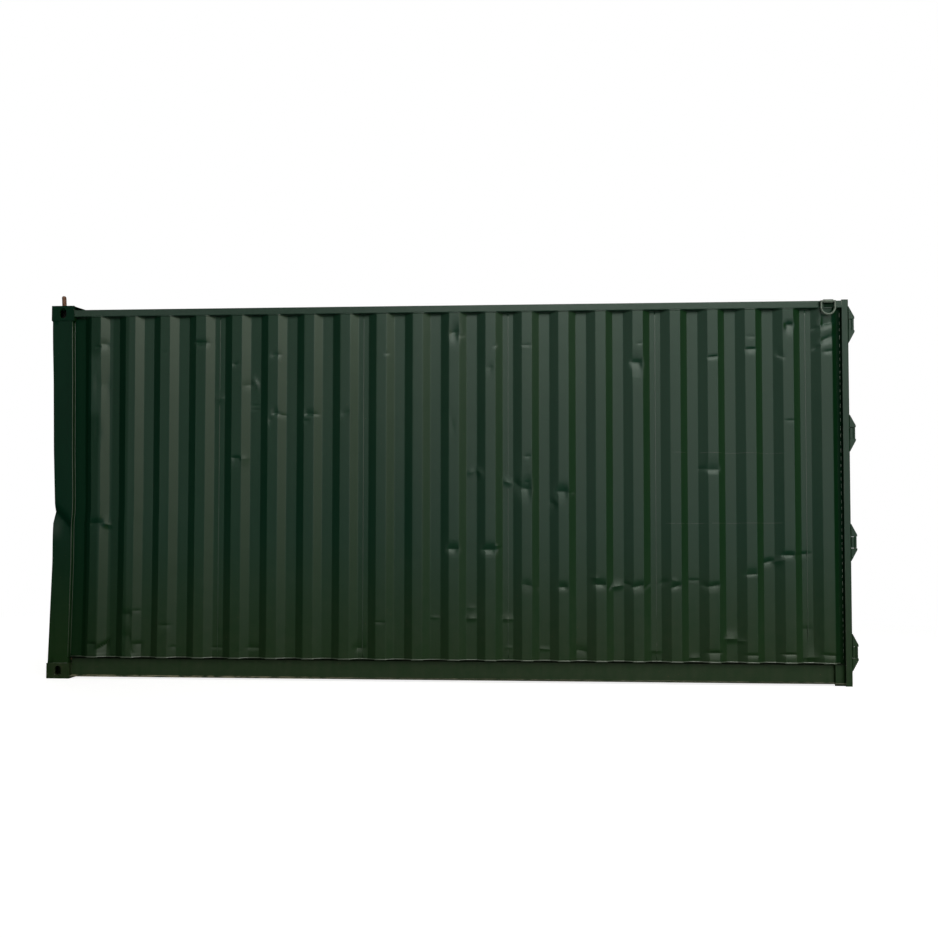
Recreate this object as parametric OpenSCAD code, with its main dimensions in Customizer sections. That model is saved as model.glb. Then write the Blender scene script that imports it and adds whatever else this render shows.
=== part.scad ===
// Twenty foot high-cube shipping container with double cargo doors.
// The front end keeps its corner castings and the door end stands on bare posts.
// X runs from the front end to the doors, Y across, Z up from the ground.

/* [Frame] */
// Length over the front castings and the rear posts
frame_l = 6058; // [5600:1:6500]
// Width over the corner castings
frame_w = 2438; // [2300:1:2600]
// Height to the top of the corner castings
frame_h = 2896; // [2800:1:3000]
// How far the rear posts stop below the casting tops
rear_drop = 25; // [15:1:30]
// How far the top rails lie below the casting tops
roof_drop = 33; // [30:1:40]
// Height of the bottom rails and sills above the ground
ground_gap = 17; // [10:1:25]
// How far posts and rails lie inside the faces of the castings
face_inset = 4; // [2:0.5:6]

/* [Corner castings] */
// Length of a casting along the container
casting_l = 178; // [174:1:190]
// Width of a casting across the container
casting_w = 162; // [150:1:170]
// Height of a casting
casting_h = 118; // [112:1:126]
// Thickness of the top or bottom wall with the lock aperture
casting_lock_t = 28; // [22:1:30]
// Thickness of the two outer side walls
casting_side_t = 16; // [12:1:18]
// Thickness of the inner walls
casting_inner_t = 8; // [6:1:10]
// Length of the lock aperture
lock_hole_l = 124; // [112:1:128]
// Width of the lock aperture
lock_hole_w = 63.5; // [58:0.5:68]
// Distance of the lock aperture from the end face
lock_from_end = 102; // [98:1:104]
// Distance of the lock aperture from the side face
lock_from_side = 89.5; // [80:0.5:94]
// Width of the aperture in the side wall
side_hole_w = 51; // [46:1:54]
// Width of the aperture in the end wall
end_hole_w = 63.5; // [58:0.5:66]
// Height of the side and end apertures
face_hole_h = 79; // [74:1:82]
// Diameter of the stub that stands in one lock aperture
stub_d = 33; // [24:1:40]
// How far the stub stands above the casting
stub_proud = 105; // [60:1:130]
// Distance from the end face to the centre of the stub's foot
stub_from_end = 64; // [60:1:100]
// Lean of the stub towards the front
stub_lean = 3; // [0:0.5:4]

/* [Front end] */
// Plate thickness of the front posts
post_plate = 6; // [4:0.5:8]
// Width of a front post seen from the side
post_side = 164; // [150:1:168]
// Width of a front post seen from the end
post_end = 130; // [110:1:140]
// Depth of the flange along the free edge of a front post
post_return = 48; // [42:1:56]
// Height of the front sill
sill_h = 133; // [120:1:150]
// Height of the front header
header_h = 60; // [50:1:70]
// Depth of the front sill and header
end_rail_d = 60; // [54:1:64]
// Outer flat of the front wall
front_flat = 110; // [100:1:120]
// Sloped part of the front wall
front_slope = 18; // [14:1:30]
// Inner flat of the front wall
front_inner = 104; // [95:1:110]
// Depth of the front wall corrugation
front_depth = 45.6; // [40:0.2:48]

/* [Side walls] */
// Outer flat of the side wall
side_flat = 71; // [66:1:74]
// Sloped part of the side wall
side_slope = 68; // [60:1:72]
// Inner flat of the side wall
side_inner = 70; // [66:1:74]
// Depth of the side wall corrugation
side_depth = 36; // [32:1:38]
// Thickness of all corrugated sheets
sheet_t = 2; // [1.6:0.1:3]

/* [Rails] */
// Height of the bottom side rails
bottom_rail_h = 150; // [140:1:162]
// Width of the bottom side rails
bottom_rail_w = 48; // [46:1:54]
// Plate thickness of the bottom side rails
bottom_rail_t = 4.5; // [3.5:0.5:6]
// Height of the top side rails
top_rail_h = 54; // [50:1:60]
// Width of the top side rails
top_rail_w = 60; // [56:1:64]
// Wall of the square tubes
tube_t = 3; // [2.5:0.5:4]
// Outer corner radius of the square tubes
tube_r = 7; // [5:1:9]

/* [Roof] */
// Height of the ribs pressed into the roof
roof_rib_h = 20; // [14:1:24]
// Width of the top of a roof rib
roof_rib_w = 91; // [84:1:96]
// Sloped part of a roof rib
roof_slope = 14; // [12:1:20]
// Flat between two roof ribs
roof_flat = 91; // [84:1:110]
// Flat between the roof corner plates and the first roof rib
roof_first = 20; // [10:5:60]
// Flat margin along both sides of the roof
roof_margin = 85; // [80:1:120]
// Thickness of the roof corner plates
corner_plate_t = 4; // [3:0.5:6]
// Length of the roof corner plates
corner_plate_l = 74; // [64:1:90]
// Gap at the seam between the front roof plate and the pressed sheet
roof_seam = 0.3; // [0.3:0.1:1]

/* [Floor] */
// Distance of the first cross member from the front castings
cross_first = 60; // [40:1:80]
// Distance from the last cross member to the rear sill
cross_last = 90; // [80:1:120]
// Thickness of the floor boards
floor_t = 28; // [24:1:32]
// Number of cross members under the floor
cross_count = 18; // [14:1:20]
// Flange width of the cross members
cross_w = 45; // [40:1:50]
// Plate thickness of the cross members
cross_t = 4; // [3.5:0.5:5]

/* [Rear end] */
// Width of the outer strip of a rear post
strip_w = 50; // [44:1:56]
// Thickness of the outer strip of a rear post
strip_t = 10; // [8:1:12]
// Depth of the door jamb along the container
jamb_d = 113; // [108:1:120]
// Distance from the side of a rear post to the inner face of its jamb
jamb_reach = 38; // [36:1:40]
// Thickness of the door jamb
jamb_t = 12; // [10:1:13]
// How far the side wall reaches over the door jamb
jamb_lap = 33; // [28:1:40]
// Depth of the rear sill and header
rear_rail_d = 110; // [100:1:120]
// Height of the rear header
rear_header_h = 111; // [104:1:120]
// Plate thickness of the rear sill and header
rear_plate = 5; // [4:0.5:6]
// Depth of the drip lip over the doors
lip_d = 30; // [20:1:34]

/* [Doors] */
// Thickness of a door leaf
door_t = 50; // [46:1:54]
// How far the leaves lie inside the rear faces of the posts
door_recess = 40; // [38:1:44]
// Gap between a leaf and its jamb
side_gap = 12; // [10:1:14]
// Gap between the two leaves
centre_gap = 20; // [18:1:24]
// Gap over and under a leaf
end_gap = 8; // [7:1:10]
// Width of the stiles of a leaf
stile_w = 100; // [90:1:110]
// Height of the top and bottom rails of a leaf
door_rail_h = 150; // [130:1:160]
// Flat of the door panel corrugation
door_flat = 230; // [200:5:250]
// Sloped part of the door panel corrugation
door_slope = 40; // [36:1:60]
// Depth of the door panel corrugation
door_depth = 36; // [30:1:38]
// Width of the gasket behind the edge of a leaf
gasket_t = 12; // [8:1:14]
// Clearance between the gasket and what it faces
gasket_gap = 5; // [5:0.5:6]

/* [Hinges] */
// Number of hinges on a leaf
hinge_count = 4; // [3:1:4]
// Height of the lowest hinge
hinge_first = 250; // [240:1:270]
// Distance of the highest hinge from the top of the rear post
hinge_last = 188; // [180:1:200]
// How far the lugs stand out behind the rear posts
hinge_reach = 42; // [40:1:44]
// Radius of the hinge pins
pin_r = 6.5; // [5:0.5:7]
// Outer radius of the blade eyes
eye_r = 10; // [9.5:0.5:11]
// Gap between pin and eye
pin_gap = 0.4; // [0.3:0.1:0.6]
// Distance of the pins inside the side faces of the castings
pin_inset = 16; // [15:1:17]
// Height of the space between two lugs
knuckle_h = 86; // [80:1:92]
// Gap over and under a blade eye
knuckle_gap = 2; // [1:0.5:3]
// Straight part of a lug beside the blade
lug_flat = 14; // [10:1:16]
// Tapered part of a lug
lug_taper = 80; // [60:1:90]
// Width of a lug across the container
lug_w = 22; // [20:1:23]
// Thickness of the hinge blades
blade_t = 8; // [6:0.5:8]
// Gap between the arm of a blade and the rear face of the post
arm_gap = 5; // [4:0.5:6]
// How far a blade stands out beside the edge of the leaf
blade_out = 2; // [1:0.5:3]
// Length of a hinge blade on the leaf
blade_l = 190; // [150:5:220]

/* [Lock gear] */
// Diameter of the lock rods
rod_d = 27; // [24:1:28]
// Distance of the first rod from the hinge edge of its leaf
rod_in = 262; // [255:1:300]
// Distance of the second rod from the free edge of its leaf
rod_out = 160; // [140:1:200]
// Space between the rods and the leaf
rod_gap = 12; // [10:1:14]
// How far the rods reach past the top and bottom of a leaf
rod_past = 84; // [78:1:90]
// Height of a cam at a rod end
cam_h = 22; // [18:1:26]
// Reach of a cam beside its rod
cam_reach = 34; // [30:1:38]
// Clearance between a cam and its keeper
keeper_gap = 7; // [6:0.5:9]
// Thickness of the keeper cheeks
keeper_t = 8; // [6:1:10]
// Depth of the keeper cheeks
keeper_d = 36; // [30:1:40]
// Height of the keepers
keeper_h = 60; // [50:1:66]
// Thickness of the foot of a keeper
keeper_foot = 3; // [2:0.5:4]
// Rod brackets on each rod
bracket_count = 4; // [3:1:5]
// Distance of the outer brackets from the ends of the leaf
bracket_end = 70; // [60:1:90]
// Height of a rod bracket
bracket_h = 44; // [36:1:50]
// Width of the foot of a rod bracket
bracket_w = 87; // [80:1:96]
// Thickness of the foot of a rod bracket
bracket_foot = 6; // [4:0.5:8]
// Wall of a rod bracket round its rod
bracket_wall = 5; // [4:0.5:6]
// Height of the door handles above the ground
handle_z = 1180; // [1100:5:1230]
// Length of a door handle
handle_l = 520; // [450:5:540]
// Height of the handle bar
handle_h = 32; // [26:1:36]
// Thickness of the handle bar
handle_t = 8; // [6:1:10]
// Distance between the two handles of a leaf
handle_rise = 120; // [100:1:140]
// Height of the hub of a handle
hub_h = 60; // [50:1:70]
// Wall of the hub of a handle
hub_wall = 4; // [3:0.5:5]
// Distance of the catch from the end of its handle
catch_from_end = 90; // [80:1:120]
// Width of a handle catch
catch_l = 50; // [40:1:60]
// How far a catch reaches over and under its handle
catch_over = 6; // [4:1:8]

/* [Lifting rings] */
// Distance of the lifting rings from the rear faces
ring_from_rear = 155; // [150:1:200]
// Width over a lifting ring
ring_w = 115; // [105:1:125]
// Height over a lifting ring
ring_h = 112; // [104:1:120]
// Diameter of the ring bar
ring_bar = 15; // [12:1:16]
// Gap round the ring bar in its saddle
ring_gap = 0.5; // [0.4:0.1:0.8]
// Length of the saddle along the rail
saddle_l = 67; // [50:1:70]
// Thickness of the saddle strap
saddle_t = 5; // [4:0.5:6]
// Depth of the saddle strap on top of the rail
saddle_d = 46; // [40:1:52]

/* [Hidden] */
$fn = 32;
// Overshoot of cutting solids
cut = 1;
front_x = -(frame_l + hinge_reach) / 2;
rear_x = front_x + frame_l;
side_y = -frame_w / 2;
rear_post_h = frame_h - rear_drop;
roof_z = frame_h - roof_drop;
rail_top_z = ground_gap + bottom_rail_h;
wall_top_z = roof_z - top_rail_h;
post_top_z = frame_h - casting_h;
inner_y = side_y + face_inset;
rear_in_x = rear_x - door_recess;
jamb_y = inner_y + jamb_reach;
sill_top_z = ground_gap + sill_h;
header_z = roof_z - header_h;
rear_header_z = roof_z - rear_header_h;
front_wall_x = front_x + face_inset + post_plate;
floor_front_x = front_x + face_inset + end_rail_d;
floor_rear_x = rear_in_x - rear_rail_d;
floor_z = rail_top_z - floor_t;
web_y = inner_y + bottom_rail_w;
// Side wall outline, counted from the flange of the front post
side_start_x = front_x + face_inset + post_side;
side_pitch = side_flat + side_slope + side_inner + side_slope;
side_first = 80;
side_front_d = face_inset + side_depth;
jamb_outer_y = jamb_y - jamb_t;
slope_left = jamb_outer_y - inner_y - sheet_t;
side_span = rear_x - strip_w - side_start_x;
side_count = floor((side_span - side_first - side_slope - side_flat) / side_pitch);
// Hinge pins
hinge_pitch = (rear_post_h - hinge_first - hinge_last) / (hinge_count - 1);
pin_x = rear_x + hinge_reach - eye_r;
pin_y = side_y + pin_inset;
lug_h = knuckle_h / 2 + lug_flat + lug_taper;
// Door leaf
leaf_y = jamb_y + side_gap;
leaf_w = -centre_gap / 2 - leaf_y;
leaf_z = rail_top_z + end_gap;
leaf_h = rear_header_z - end_gap - leaf_z;
leaf_in_x = rear_in_x - door_t;
rod_x = rear_in_x + rod_gap + rod_d / 2;
rod_ys = [leaf_y + rod_in, leaf_y + leaf_w - rod_out];
rod_low_z = leaf_z - rod_past;
rod_high_z = leaf_z + leaf_h + rod_past;
bracket_step = (leaf_h - 2 * bracket_end) / (bracket_count - 1);
bracket_zs = [for (i = [0:bracket_count - 1]) leaf_z + bracket_end + i * bracket_step];
// Lifting ring
ring_x = rear_x - ring_from_rear;
sleeve_r = ring_bar / 2 + ring_gap + saddle_t;
ring_y = inner_y - sleeve_r;
ring_z = roof_z + saddle_t - sleeve_r;

// Mirror image on the far side
module far_side() {
    mirror([0, 1, 0]) children();
}

// Box from its lowest and highest corners
module block(low, high) {
    translate(low) cube(high - low);
}

// Upright long hole outline
module slot_outline(width, length) {
    reach = (length - width) / 2;
    translate([0, reach]) circle(d = width);
    translate([0, -reach]) circle(d = width);
    square([width, 2 * reach], center = true);
}

// Rectangle with round corners, from its lowest corner
module round_rect(width, height, radius) {
    translate([radius, 0]) square([width - 2 * radius, height]);
    translate([0, radius]) square([width, height - 2 * radius]);
    for (x = [radius, width - radius], y = [radius, height - radius])
        translate([x, y]) circle(r = radius);
}

// Tube outline with round corners
module tube_outline(width, height) {
    difference() {
        round_rect(width, height, tube_r);
        translate([tube_t, tube_t])
            round_rect(width - 2 * tube_t, height - 2 * tube_t, tube_r - tube_t);
    }
}

// Band of a given height between an outline of points and its copy shifted by the thickness
module band(points, shift) {
    count = len(points);
    polygon(concat(points, [for (i = [count - 1:-1:0]) points[i] + shift]));
}

// One bottom casting at the near front corner, its lock aperture facing down
module casting() {
    mid_x = front_x + casting_l / 2;
    mid_z = casting_h / 2;
    color("darkslategray") difference() {
        block([front_x, side_y, 0], [front_x + casting_l, side_y + casting_w, casting_h]);
        block([front_x + casting_side_t, side_y + casting_side_t, casting_lock_t],
            [front_x + casting_l - casting_inner_t, side_y + casting_w - casting_inner_t,
             casting_h - casting_inner_t]);
        translate([front_x + lock_from_end, side_y + lock_from_side, -cut])
            linear_extrude(casting_lock_t + 2 * cut)
                rotate([0, 0, 90]) slot_outline(lock_hole_w, lock_hole_l);
        translate([mid_x, side_y + casting_side_t + cut, mid_z]) rotate([90, 0, 0])
            linear_extrude(casting_side_t + 2 * cut) slot_outline(side_hole_w, face_hole_h);
        translate([front_x - cut, side_y + lock_from_side, mid_z]) rotate([90, 0, 90])
            linear_extrude(casting_side_t + 2 * cut) slot_outline(end_hole_w, face_hole_h);
    }
}

// Top casting, the bottom one turned over
module casting_top() {
    translate([0, 0, frame_h]) mirror([0, 0, 1]) casting();
}

// Space that a near front casting takes, top and bottom
module casting_space() {
    block([front_x, side_y, -cut], [front_x + casting_l, side_y + casting_w, casting_h]);
    block([front_x, side_y, post_top_z], [front_x + casting_l, side_y + casting_w, frame_h + cut]);
}

module front_post() {
    side = face_inset + post_side;
    color("darkgreen") translate([front_x, side_y, casting_h])
        linear_extrude(post_top_z - casting_h) {
            translate([face_inset, face_inset]) square([post_side, post_plate]);
            translate([face_inset, face_inset]) square([post_plate, post_end]);
            translate([side - post_plate, face_inset]) square([post_plate, post_return]);
            translate([face_inset, face_inset + post_end - post_plate])
                square([end_rail_d, post_plate]);
        }
}

// Channel across the front, open to the inside
module front_sill() {
    low_y = side_y + face_inset + post_end;
    color("darkgreen") difference() {
        translate([front_x + face_inset, low_y, ground_gap]) difference() {
            cube([end_rail_d, -2 * low_y, sill_h]);
            translate([post_plate, -cut, post_plate])
                cube([end_rail_d, -2 * low_y + 2 * cut, sill_h - 2 * post_plate]);
        }
        casting_space();
        far_side() casting_space();
    }
}

module front_header() {
    low_y = side_y + face_inset + post_end;
    color("darkgreen") difference() {
        translate([front_x + face_inset, -low_y, header_z]) rotate([90, 0, 0])
            linear_extrude(-2 * low_y) tube_outline(end_rail_d, header_h);
        casting_space();
        far_side() casting_space();
    }
}

// Upright corrugation across the front, flats at both ends
module front_wall() {
    low_y = side_y + face_inset + post_end;
    width = -2 * low_y;
    pitch = front_flat + front_inner + 2 * front_slope;
    count = floor((width - front_flat) / pitch);
    margin = (width - count * pitch - front_flat) / 2;
    ribs = [for (i = [0:count - 1]) each [
        [0, margin + i * pitch + front_flat],
        [front_depth, margin + i * pitch + front_flat + front_slope],
        [front_depth, margin + i * pitch + front_flat + front_slope + front_inner],
        [0, margin + (i + 1) * pitch]]];
    color("darkgreen") difference() {
        translate([front_wall_x, low_y, sill_top_z]) linear_extrude(header_z - sill_top_z)
            band(concat([[0, 0]], ribs, [[0, width]]), [sheet_t, 0]);
        casting_space();
        far_side() casting_space();
    }
}

// Section of the near rear post: strip, rear flange and jamb in one
module rear_post_outline() {
    translate([rear_x - strip_w, inner_y]) difference() {
        square([strip_w, strip_t]);
        translate([strip_w - strip_t, 0]) square(strip_t);
    }
    intersection() {
        translate([rear_x - strip_t, inner_y + strip_t]) circle(r = strip_t);
        translate([rear_x - strip_t, inner_y]) square(strip_t);
    }
    translate([rear_x - jamb_t, inner_y + strip_t]) square([jamb_t, jamb_reach - strip_t]);
    translate([rear_x - jamb_d, jamb_outer_y]) square([jamb_d, jamb_t]);
}

// Space that the near rear post takes
module rear_post_space() {
    linear_extrude(rear_post_h) rear_post_outline();
}

module rear_post() {
    color("darkgreen") rear_post_space();
}

// Two wedge lugs with a pin welded between them, for each hinge
module hinge_lugs() {
    half = knuckle_h / 2;
    color("darkgreen") for (i = [0:hinge_count - 1])
        translate([0, pin_y, hinge_first + i * hinge_pitch]) {
            for (side = [0, 1]) mirror([0, 0, side])
                translate([0, lug_w / 2, 0]) rotate([90, 0, 0]) linear_extrude(lug_w)
                    polygon([[rear_x, half], [rear_x + hinge_reach, half],
                        [rear_x + hinge_reach, half + lug_flat], [rear_x, lug_h]]);
            translate([pin_x, 0, -half]) cylinder(h = knuckle_h, r = pin_r);
        }
}

// Box beam across the rear with open ends
module rear_beam(low_z, high_z) {
    translate([rear_in_x - rear_rail_d, 0, low_z]) difference() {
        translate([0, jamb_y, 0]) cube([rear_rail_d, -2 * jamb_y, high_z - low_z]);
        translate([rear_plate, jamb_y - cut, rear_plate])
            cube([rear_rail_d - 2 * rear_plate, -2 * jamb_y + 2 * cut, high_z - low_z - 2 * rear_plate]);
    }
}

module rear_sill() {
    color("darkgreen") difference() {
        rear_beam(ground_gap, rail_top_z);
        bottom_rail_space();
        far_side() bottom_rail_space();
    }
}

// Header with a drip lip over the doors
module rear_header() {
    color("darkgreen") difference() {
        union() {
            rear_beam(rear_header_z, roof_z);
            block([rear_in_x, jamb_y, roof_z - rear_plate], [rear_in_x + lip_d, -jamb_y, roof_z]);
        }
        top_rail_space();
        far_side() top_rail_space();
    }
}

module bottom_rail_space() {
    block([front_x, inner_y - cut, ground_gap - cut],
        [rear_x - strip_w, web_y, rail_top_z + cut]);
}

module top_rail_space() {
    block([front_x, inner_y - cut, wall_top_z], [rear_x - strip_w, inner_y + top_rail_w, roof_z + cut]);
}

// Channel open to the outside, between front casting and rear strip
module bottom_rail() {
    length = rear_x - strip_w - front_x - casting_l;
    color("darkgreen") difference() {
        translate([front_x + casting_l, inner_y, ground_gap]) difference() {
            cube([length, bottom_rail_w, bottom_rail_h]);
            translate([-cut, -cut, bottom_rail_t])
                cube([length + 2 * cut, bottom_rail_w - bottom_rail_t + cut,
                    bottom_rail_h - 2 * bottom_rail_t]);
        }
        rear_post_space();
    }
}

module top_rail() {
    color("darkgreen") difference() {
        translate([front_x + casting_l, inner_y, wall_top_z]) rotate([90, 0, 90])
            linear_extrude(rear_x - strip_w - front_x - casting_l)
                tube_outline(top_rail_w, top_rail_h);
        rear_post_space();
    }
}

// Upright corrugation from the front post to the jamb of the rear post
module side_wall() {
    waves = [for (i = [0:side_count - 1]) each [
        [side_first + i * side_pitch, side_depth],
        [side_first + i * side_pitch + side_slope, 0],
        [side_first + i * side_pitch + side_slope + side_flat, 0],
        [side_first + i * side_pitch + 2 * side_slope + side_flat, side_depth]]];
    last = side_first + side_count * side_pitch;
    run_out = side_slope * slope_left / side_depth;
    far_end = side_span - (jamb_d - strip_w) + jamb_lap;
    ends = [[last, side_depth], [last + side_slope, 0],
        [far_end - run_out, 0], [far_end, slope_left]];
    color("darkgreen") difference() {
        translate([side_start_x, inner_y, rail_top_z]) linear_extrude(wall_top_z - rail_top_z)
            band(concat([[0, side_depth]], waves, ends), [0, sheet_t]);
        casting_space();
    }
}

// Pressed ribs across the roof with sloped ends, on a sheet that is flat along its sides,
// and the flat plate between the front castings
module roof() {
    low_x = front_x + face_inset;
    length = rear_in_x - low_x;
    pitch = roof_rib_w + roof_flat + 2 * roof_slope;
    first = casting_l + corner_plate_l + 2 * corner_plate_t - face_inset + roof_first;
    count = floor((length - first - roof_flat) / pitch);
    half = -inner_y - tube_r;
    rib_y = half - roof_margin;
    seam_x = front_x + casting_l;
    rib = [[0, 0], [roof_slope, roof_rib_h], [roof_slope + roof_rib_w, roof_rib_h],
        [2 * roof_slope + roof_rib_w, 0]];
    starts = [for (i = [0:count - 1]) [first + i * pitch, 0]];
    wave = concat([[0, 0]], [for (start = starts, point = rib) start + point], [[length, 0]]);
    color("darkgreen") difference() {
        translate([low_x, 0, roof_z]) {
            translate([0, rib_y, 0]) rotate([90, 0, 0])
                linear_extrude(2 * rib_y) band(wave, [0, sheet_t]);
            for (side = [0, 1]) mirror([0, side, 0]) {
                translate([0, -half, 0]) cube([length, roof_margin + sheet_t, sheet_t]);
                for (start = starts)
                    translate([start[0], -rib_y + sheet_t, 0]) rotate([90, 0, 0])
                        linear_extrude(sheet_t) polygon(rib);
            }
        }
        casting_space();
        far_side() casting_space();
        rear_post_space();
        far_side() rear_post_space();
        block([seam_x, inner_y, roof_z - cut], [seam_x + roof_seam, -inner_y, roof_z + sheet_t + cut]);
    }
}

// Sloped plates from the top castings down to the rails
module roof_corner_plates() {
    low_x = front_x + casting_l;
    high_z = frame_h - corner_plate_t;
    low_z = roof_z + sheet_t;
    color("darkgreen") for (side = [0, 1]) mirror([0, side, 0])
        translate([low_x, inner_y + casting_w - face_inset, 0]) rotate([90, 0, 0])
            linear_extrude(casting_w - face_inset)
                polygon([[0, high_z - corner_plate_t], [corner_plate_l, low_z],
                    [corner_plate_l + 2 * corner_plate_t, low_z], [0, high_z]]);
}

module floor_boards() {
    color("peru") difference() {
        block([floor_front_x, web_y, floor_z], [floor_rear_x, -web_y, rail_top_z]);
        casting_space();
        far_side() casting_space();
    }
}

// Channels across the underside between the bottom rails
module cross_members() {
    low_x = front_x + casting_l + cross_first;
    step = (floor_rear_x - cross_last - low_x) / (cross_count - 1);
    height = floor_z - ground_gap;
    color("dimgray") for (i = [0:cross_count - 1])
        translate([low_x + i * step, web_y, ground_gap]) difference() {
            cube([cross_w, -2 * web_y, height]);
            translate([cross_t, -cut, cross_t])
                cube([cross_w, -2 * web_y + 2 * cut, height - 2 * cross_t]);
        }
}

// Cheeks at both sides of each cam, open to the rear
module cam_keepers() {
    inner = cam_reach + keeper_gap;
    color("darkgreen") for (side = [0, 1]) mirror([0, side, 0]) for (y = rod_ys)
        for (z = [rod_low_z + cam_h / 2, rod_high_z - cam_h / 2])
            translate([rear_in_x, y, z - keeper_h / 2]) {
                for (cheek = [0, 1]) mirror([0, cheek, 0])
                    translate([0, inner, 0]) cube([keeper_d, keeper_t, keeper_h]);
                translate([0, -inner - keeper_t, 0]) cube([keeper_foot, 2 * (inner + keeper_t), keeper_h]);
            }
}

// Strap over the top rail with a sleeve for the ring
module ring_saddle() {
    color("darkgreen") translate([ring_x - saddle_l / 2, 0, 0]) difference() {
        union() {
            block([0, ring_y, ring_z + sleeve_r - saddle_t],
                [saddle_l, inner_y + saddle_d, ring_z + sleeve_r]);
            translate([0, ring_y, ring_z]) rotate([0, 90, 0]) cylinder(h = saddle_l, r = sleeve_r);
        }
        translate([-cut, ring_y, ring_z]) rotate([0, 90, 0])
            cylinder(h = saddle_l + 2 * cut, r = ring_bar / 2 + ring_gap);
        block([-cut, inner_y + tube_r, ring_z],
            [saddle_l + cut, inner_y + saddle_d + cut, roof_z + sheet_t]);
        block([-cut, inner_y, ring_z - sleeve_r], [saddle_l + cut, inner_y + saddle_d + cut, roof_z]);
    }
}

// Closed ring: straight bar in the saddle, two sides and a half round
module lifting_ring() {
    r = ring_bar / 2;
    bend_r = (ring_w - ring_bar) / 2;
    side_h = ring_h - ring_bar - bend_r;
    color("saddlebrown") translate([ring_x, ring_y, ring_z]) {
        translate([-bend_r, 0, 0]) rotate([0, 90, 0]) cylinder(h = 2 * bend_r, r = r);
        for (x = [-bend_r, bend_r]) {
            translate([x, 0, 0]) sphere(r = r);
            translate([x, 0, -side_h]) cylinder(h = side_h, r = r);
        }
        translate([0, 0, -side_h]) rotate([-90, 0, 0])
            rotate_extrude(angle = 180) translate([bend_r, 0]) circle(r = r);
    }
}

// Bar standing on the cavity floor of the near top casting
module rusty_stub() {
    seat_z = post_top_z + casting_inner_t;
    length = frame_h + stub_proud - seat_z;
    tip = stub_d / 4;
    color("sienna") intersection() {
        translate([front_x + stub_from_end, side_y + lock_from_side, seat_z])
            rotate([0, -stub_lean, 0]) translate([0, 0, -stub_d]) {
                cylinder(h = length + stub_d - tip, d = stub_d);
                translate([0, 0, length + stub_d - tip])
                    cylinder(h = tip, d1 = stub_d, d2 = stub_d - tip);
            }
        block([front_x, side_y, seat_z],
            [front_x + casting_l, side_y + casting_w, frame_h + 2 * stub_proud]);
    }
}

// Leaf frame: tube stiles and channel rails open to the inside
module door_frame() {
    color("darkgreen") translate([leaf_in_x, leaf_y, leaf_z]) {
        for (y = [0, leaf_w - stile_w]) translate([0, y, 0])
            linear_extrude(leaf_h) tube_outline(door_t, stile_w);
        for (z = [0, leaf_h - door_rail_h]) translate([0, stile_w, z]) difference() {
            cube([door_t, leaf_w - 2 * stile_w, door_rail_h]);
            translate([-cut, -cut, tube_t])
                cube([door_t - tube_t + cut, leaf_w - 2 * stile_w + 2 * cut, door_rail_h - 2 * tube_t]);
        }
    }
}

// Level corrugation between the rails of the leaf
module door_panel() {
    height = leaf_h - 2 * door_rail_h;
    pitch = 2 * door_flat + 2 * door_slope;
    count = floor((height - door_flat) / pitch);
    margin = (height - count * pitch - door_flat) / 2;
    waves = [for (i = [0:count - 1]) each [
        [0, margin + i * pitch + door_flat], [-door_depth, margin + i * pitch + door_flat + door_slope],
        [-door_depth, margin + i * pitch + 2 * door_flat + door_slope], [0, margin + (i + 1) * pitch]]];
    color("darkgreen") translate([rear_in_x - tube_r, leaf_y + leaf_w - stile_w, leaf_z + door_rail_h])
        rotate([90, 0, 0]) linear_extrude(leaf_w - 2 * stile_w)
            band(concat([[0, 0]], waves, [[0, height]]), [-sheet_t, 0]);
}

// Rubber round the leaf edge
module door_gasket() {
    side_lip = side_gap - gasket_gap;
    end_lip = end_gap - gasket_gap;
    free_lip = centre_gap / 2 - gasket_gap;
    low_x = leaf_in_x + tube_r;
    color("black") difference() {
        block([low_x, leaf_y - side_lip, leaf_z - end_lip],
            [low_x + gasket_t, leaf_y + leaf_w + free_lip, leaf_z + leaf_h + end_lip]);
        block([low_x - cut, leaf_y, leaf_z], [low_x + gasket_t + cut, leaf_y + leaf_w, leaf_z + leaf_h]);
    }
}

// Cranked blades from the pins to the face of the leaf
module hinge_blades() {
    arm_x = rear_x + arm_gap;
    leg_y = leaf_y - blade_out;
    color("darkgreen") for (i = [0:hinge_count - 1])
        translate([0, 0, hinge_first + i * hinge_pitch - knuckle_h / 2 + knuckle_gap])
            linear_extrude(knuckle_h - 2 * knuckle_gap) difference() {
                union() {
                    translate([pin_x, pin_y]) circle(r = eye_r);
                    translate([arm_x, pin_y - blade_t / 2]) square([pin_x - arm_x, blade_t]);
                    translate([arm_x, pin_y - blade_t / 2])
                        square([blade_t, leg_y + blade_t - pin_y + blade_t / 2]);
                    translate([rear_in_x, leg_y]) square([arm_x + blade_t - rear_in_x, blade_t]);
                    translate([rear_in_x, leg_y]) square([blade_t, blade_l]);
                }
                translate([pin_x, pin_y]) circle(r = pin_r + pin_gap);
            }
}

// Rods with a cam at each end
module lock_rods() {
    color("darkgreen") for (y = rod_ys) {
        translate([rod_x, y, rod_low_z]) cylinder(h = rod_high_z - rod_low_z, d = rod_d);
        for (z = [rod_low_z, rod_high_z - cam_h])
            translate([rod_x, y, z]) linear_extrude(cam_h) {
                circle(d = rod_d);
                translate([-rod_d / 2, -cam_reach]) square([rod_d, 2 * cam_reach]);
            }
    }
}

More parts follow.
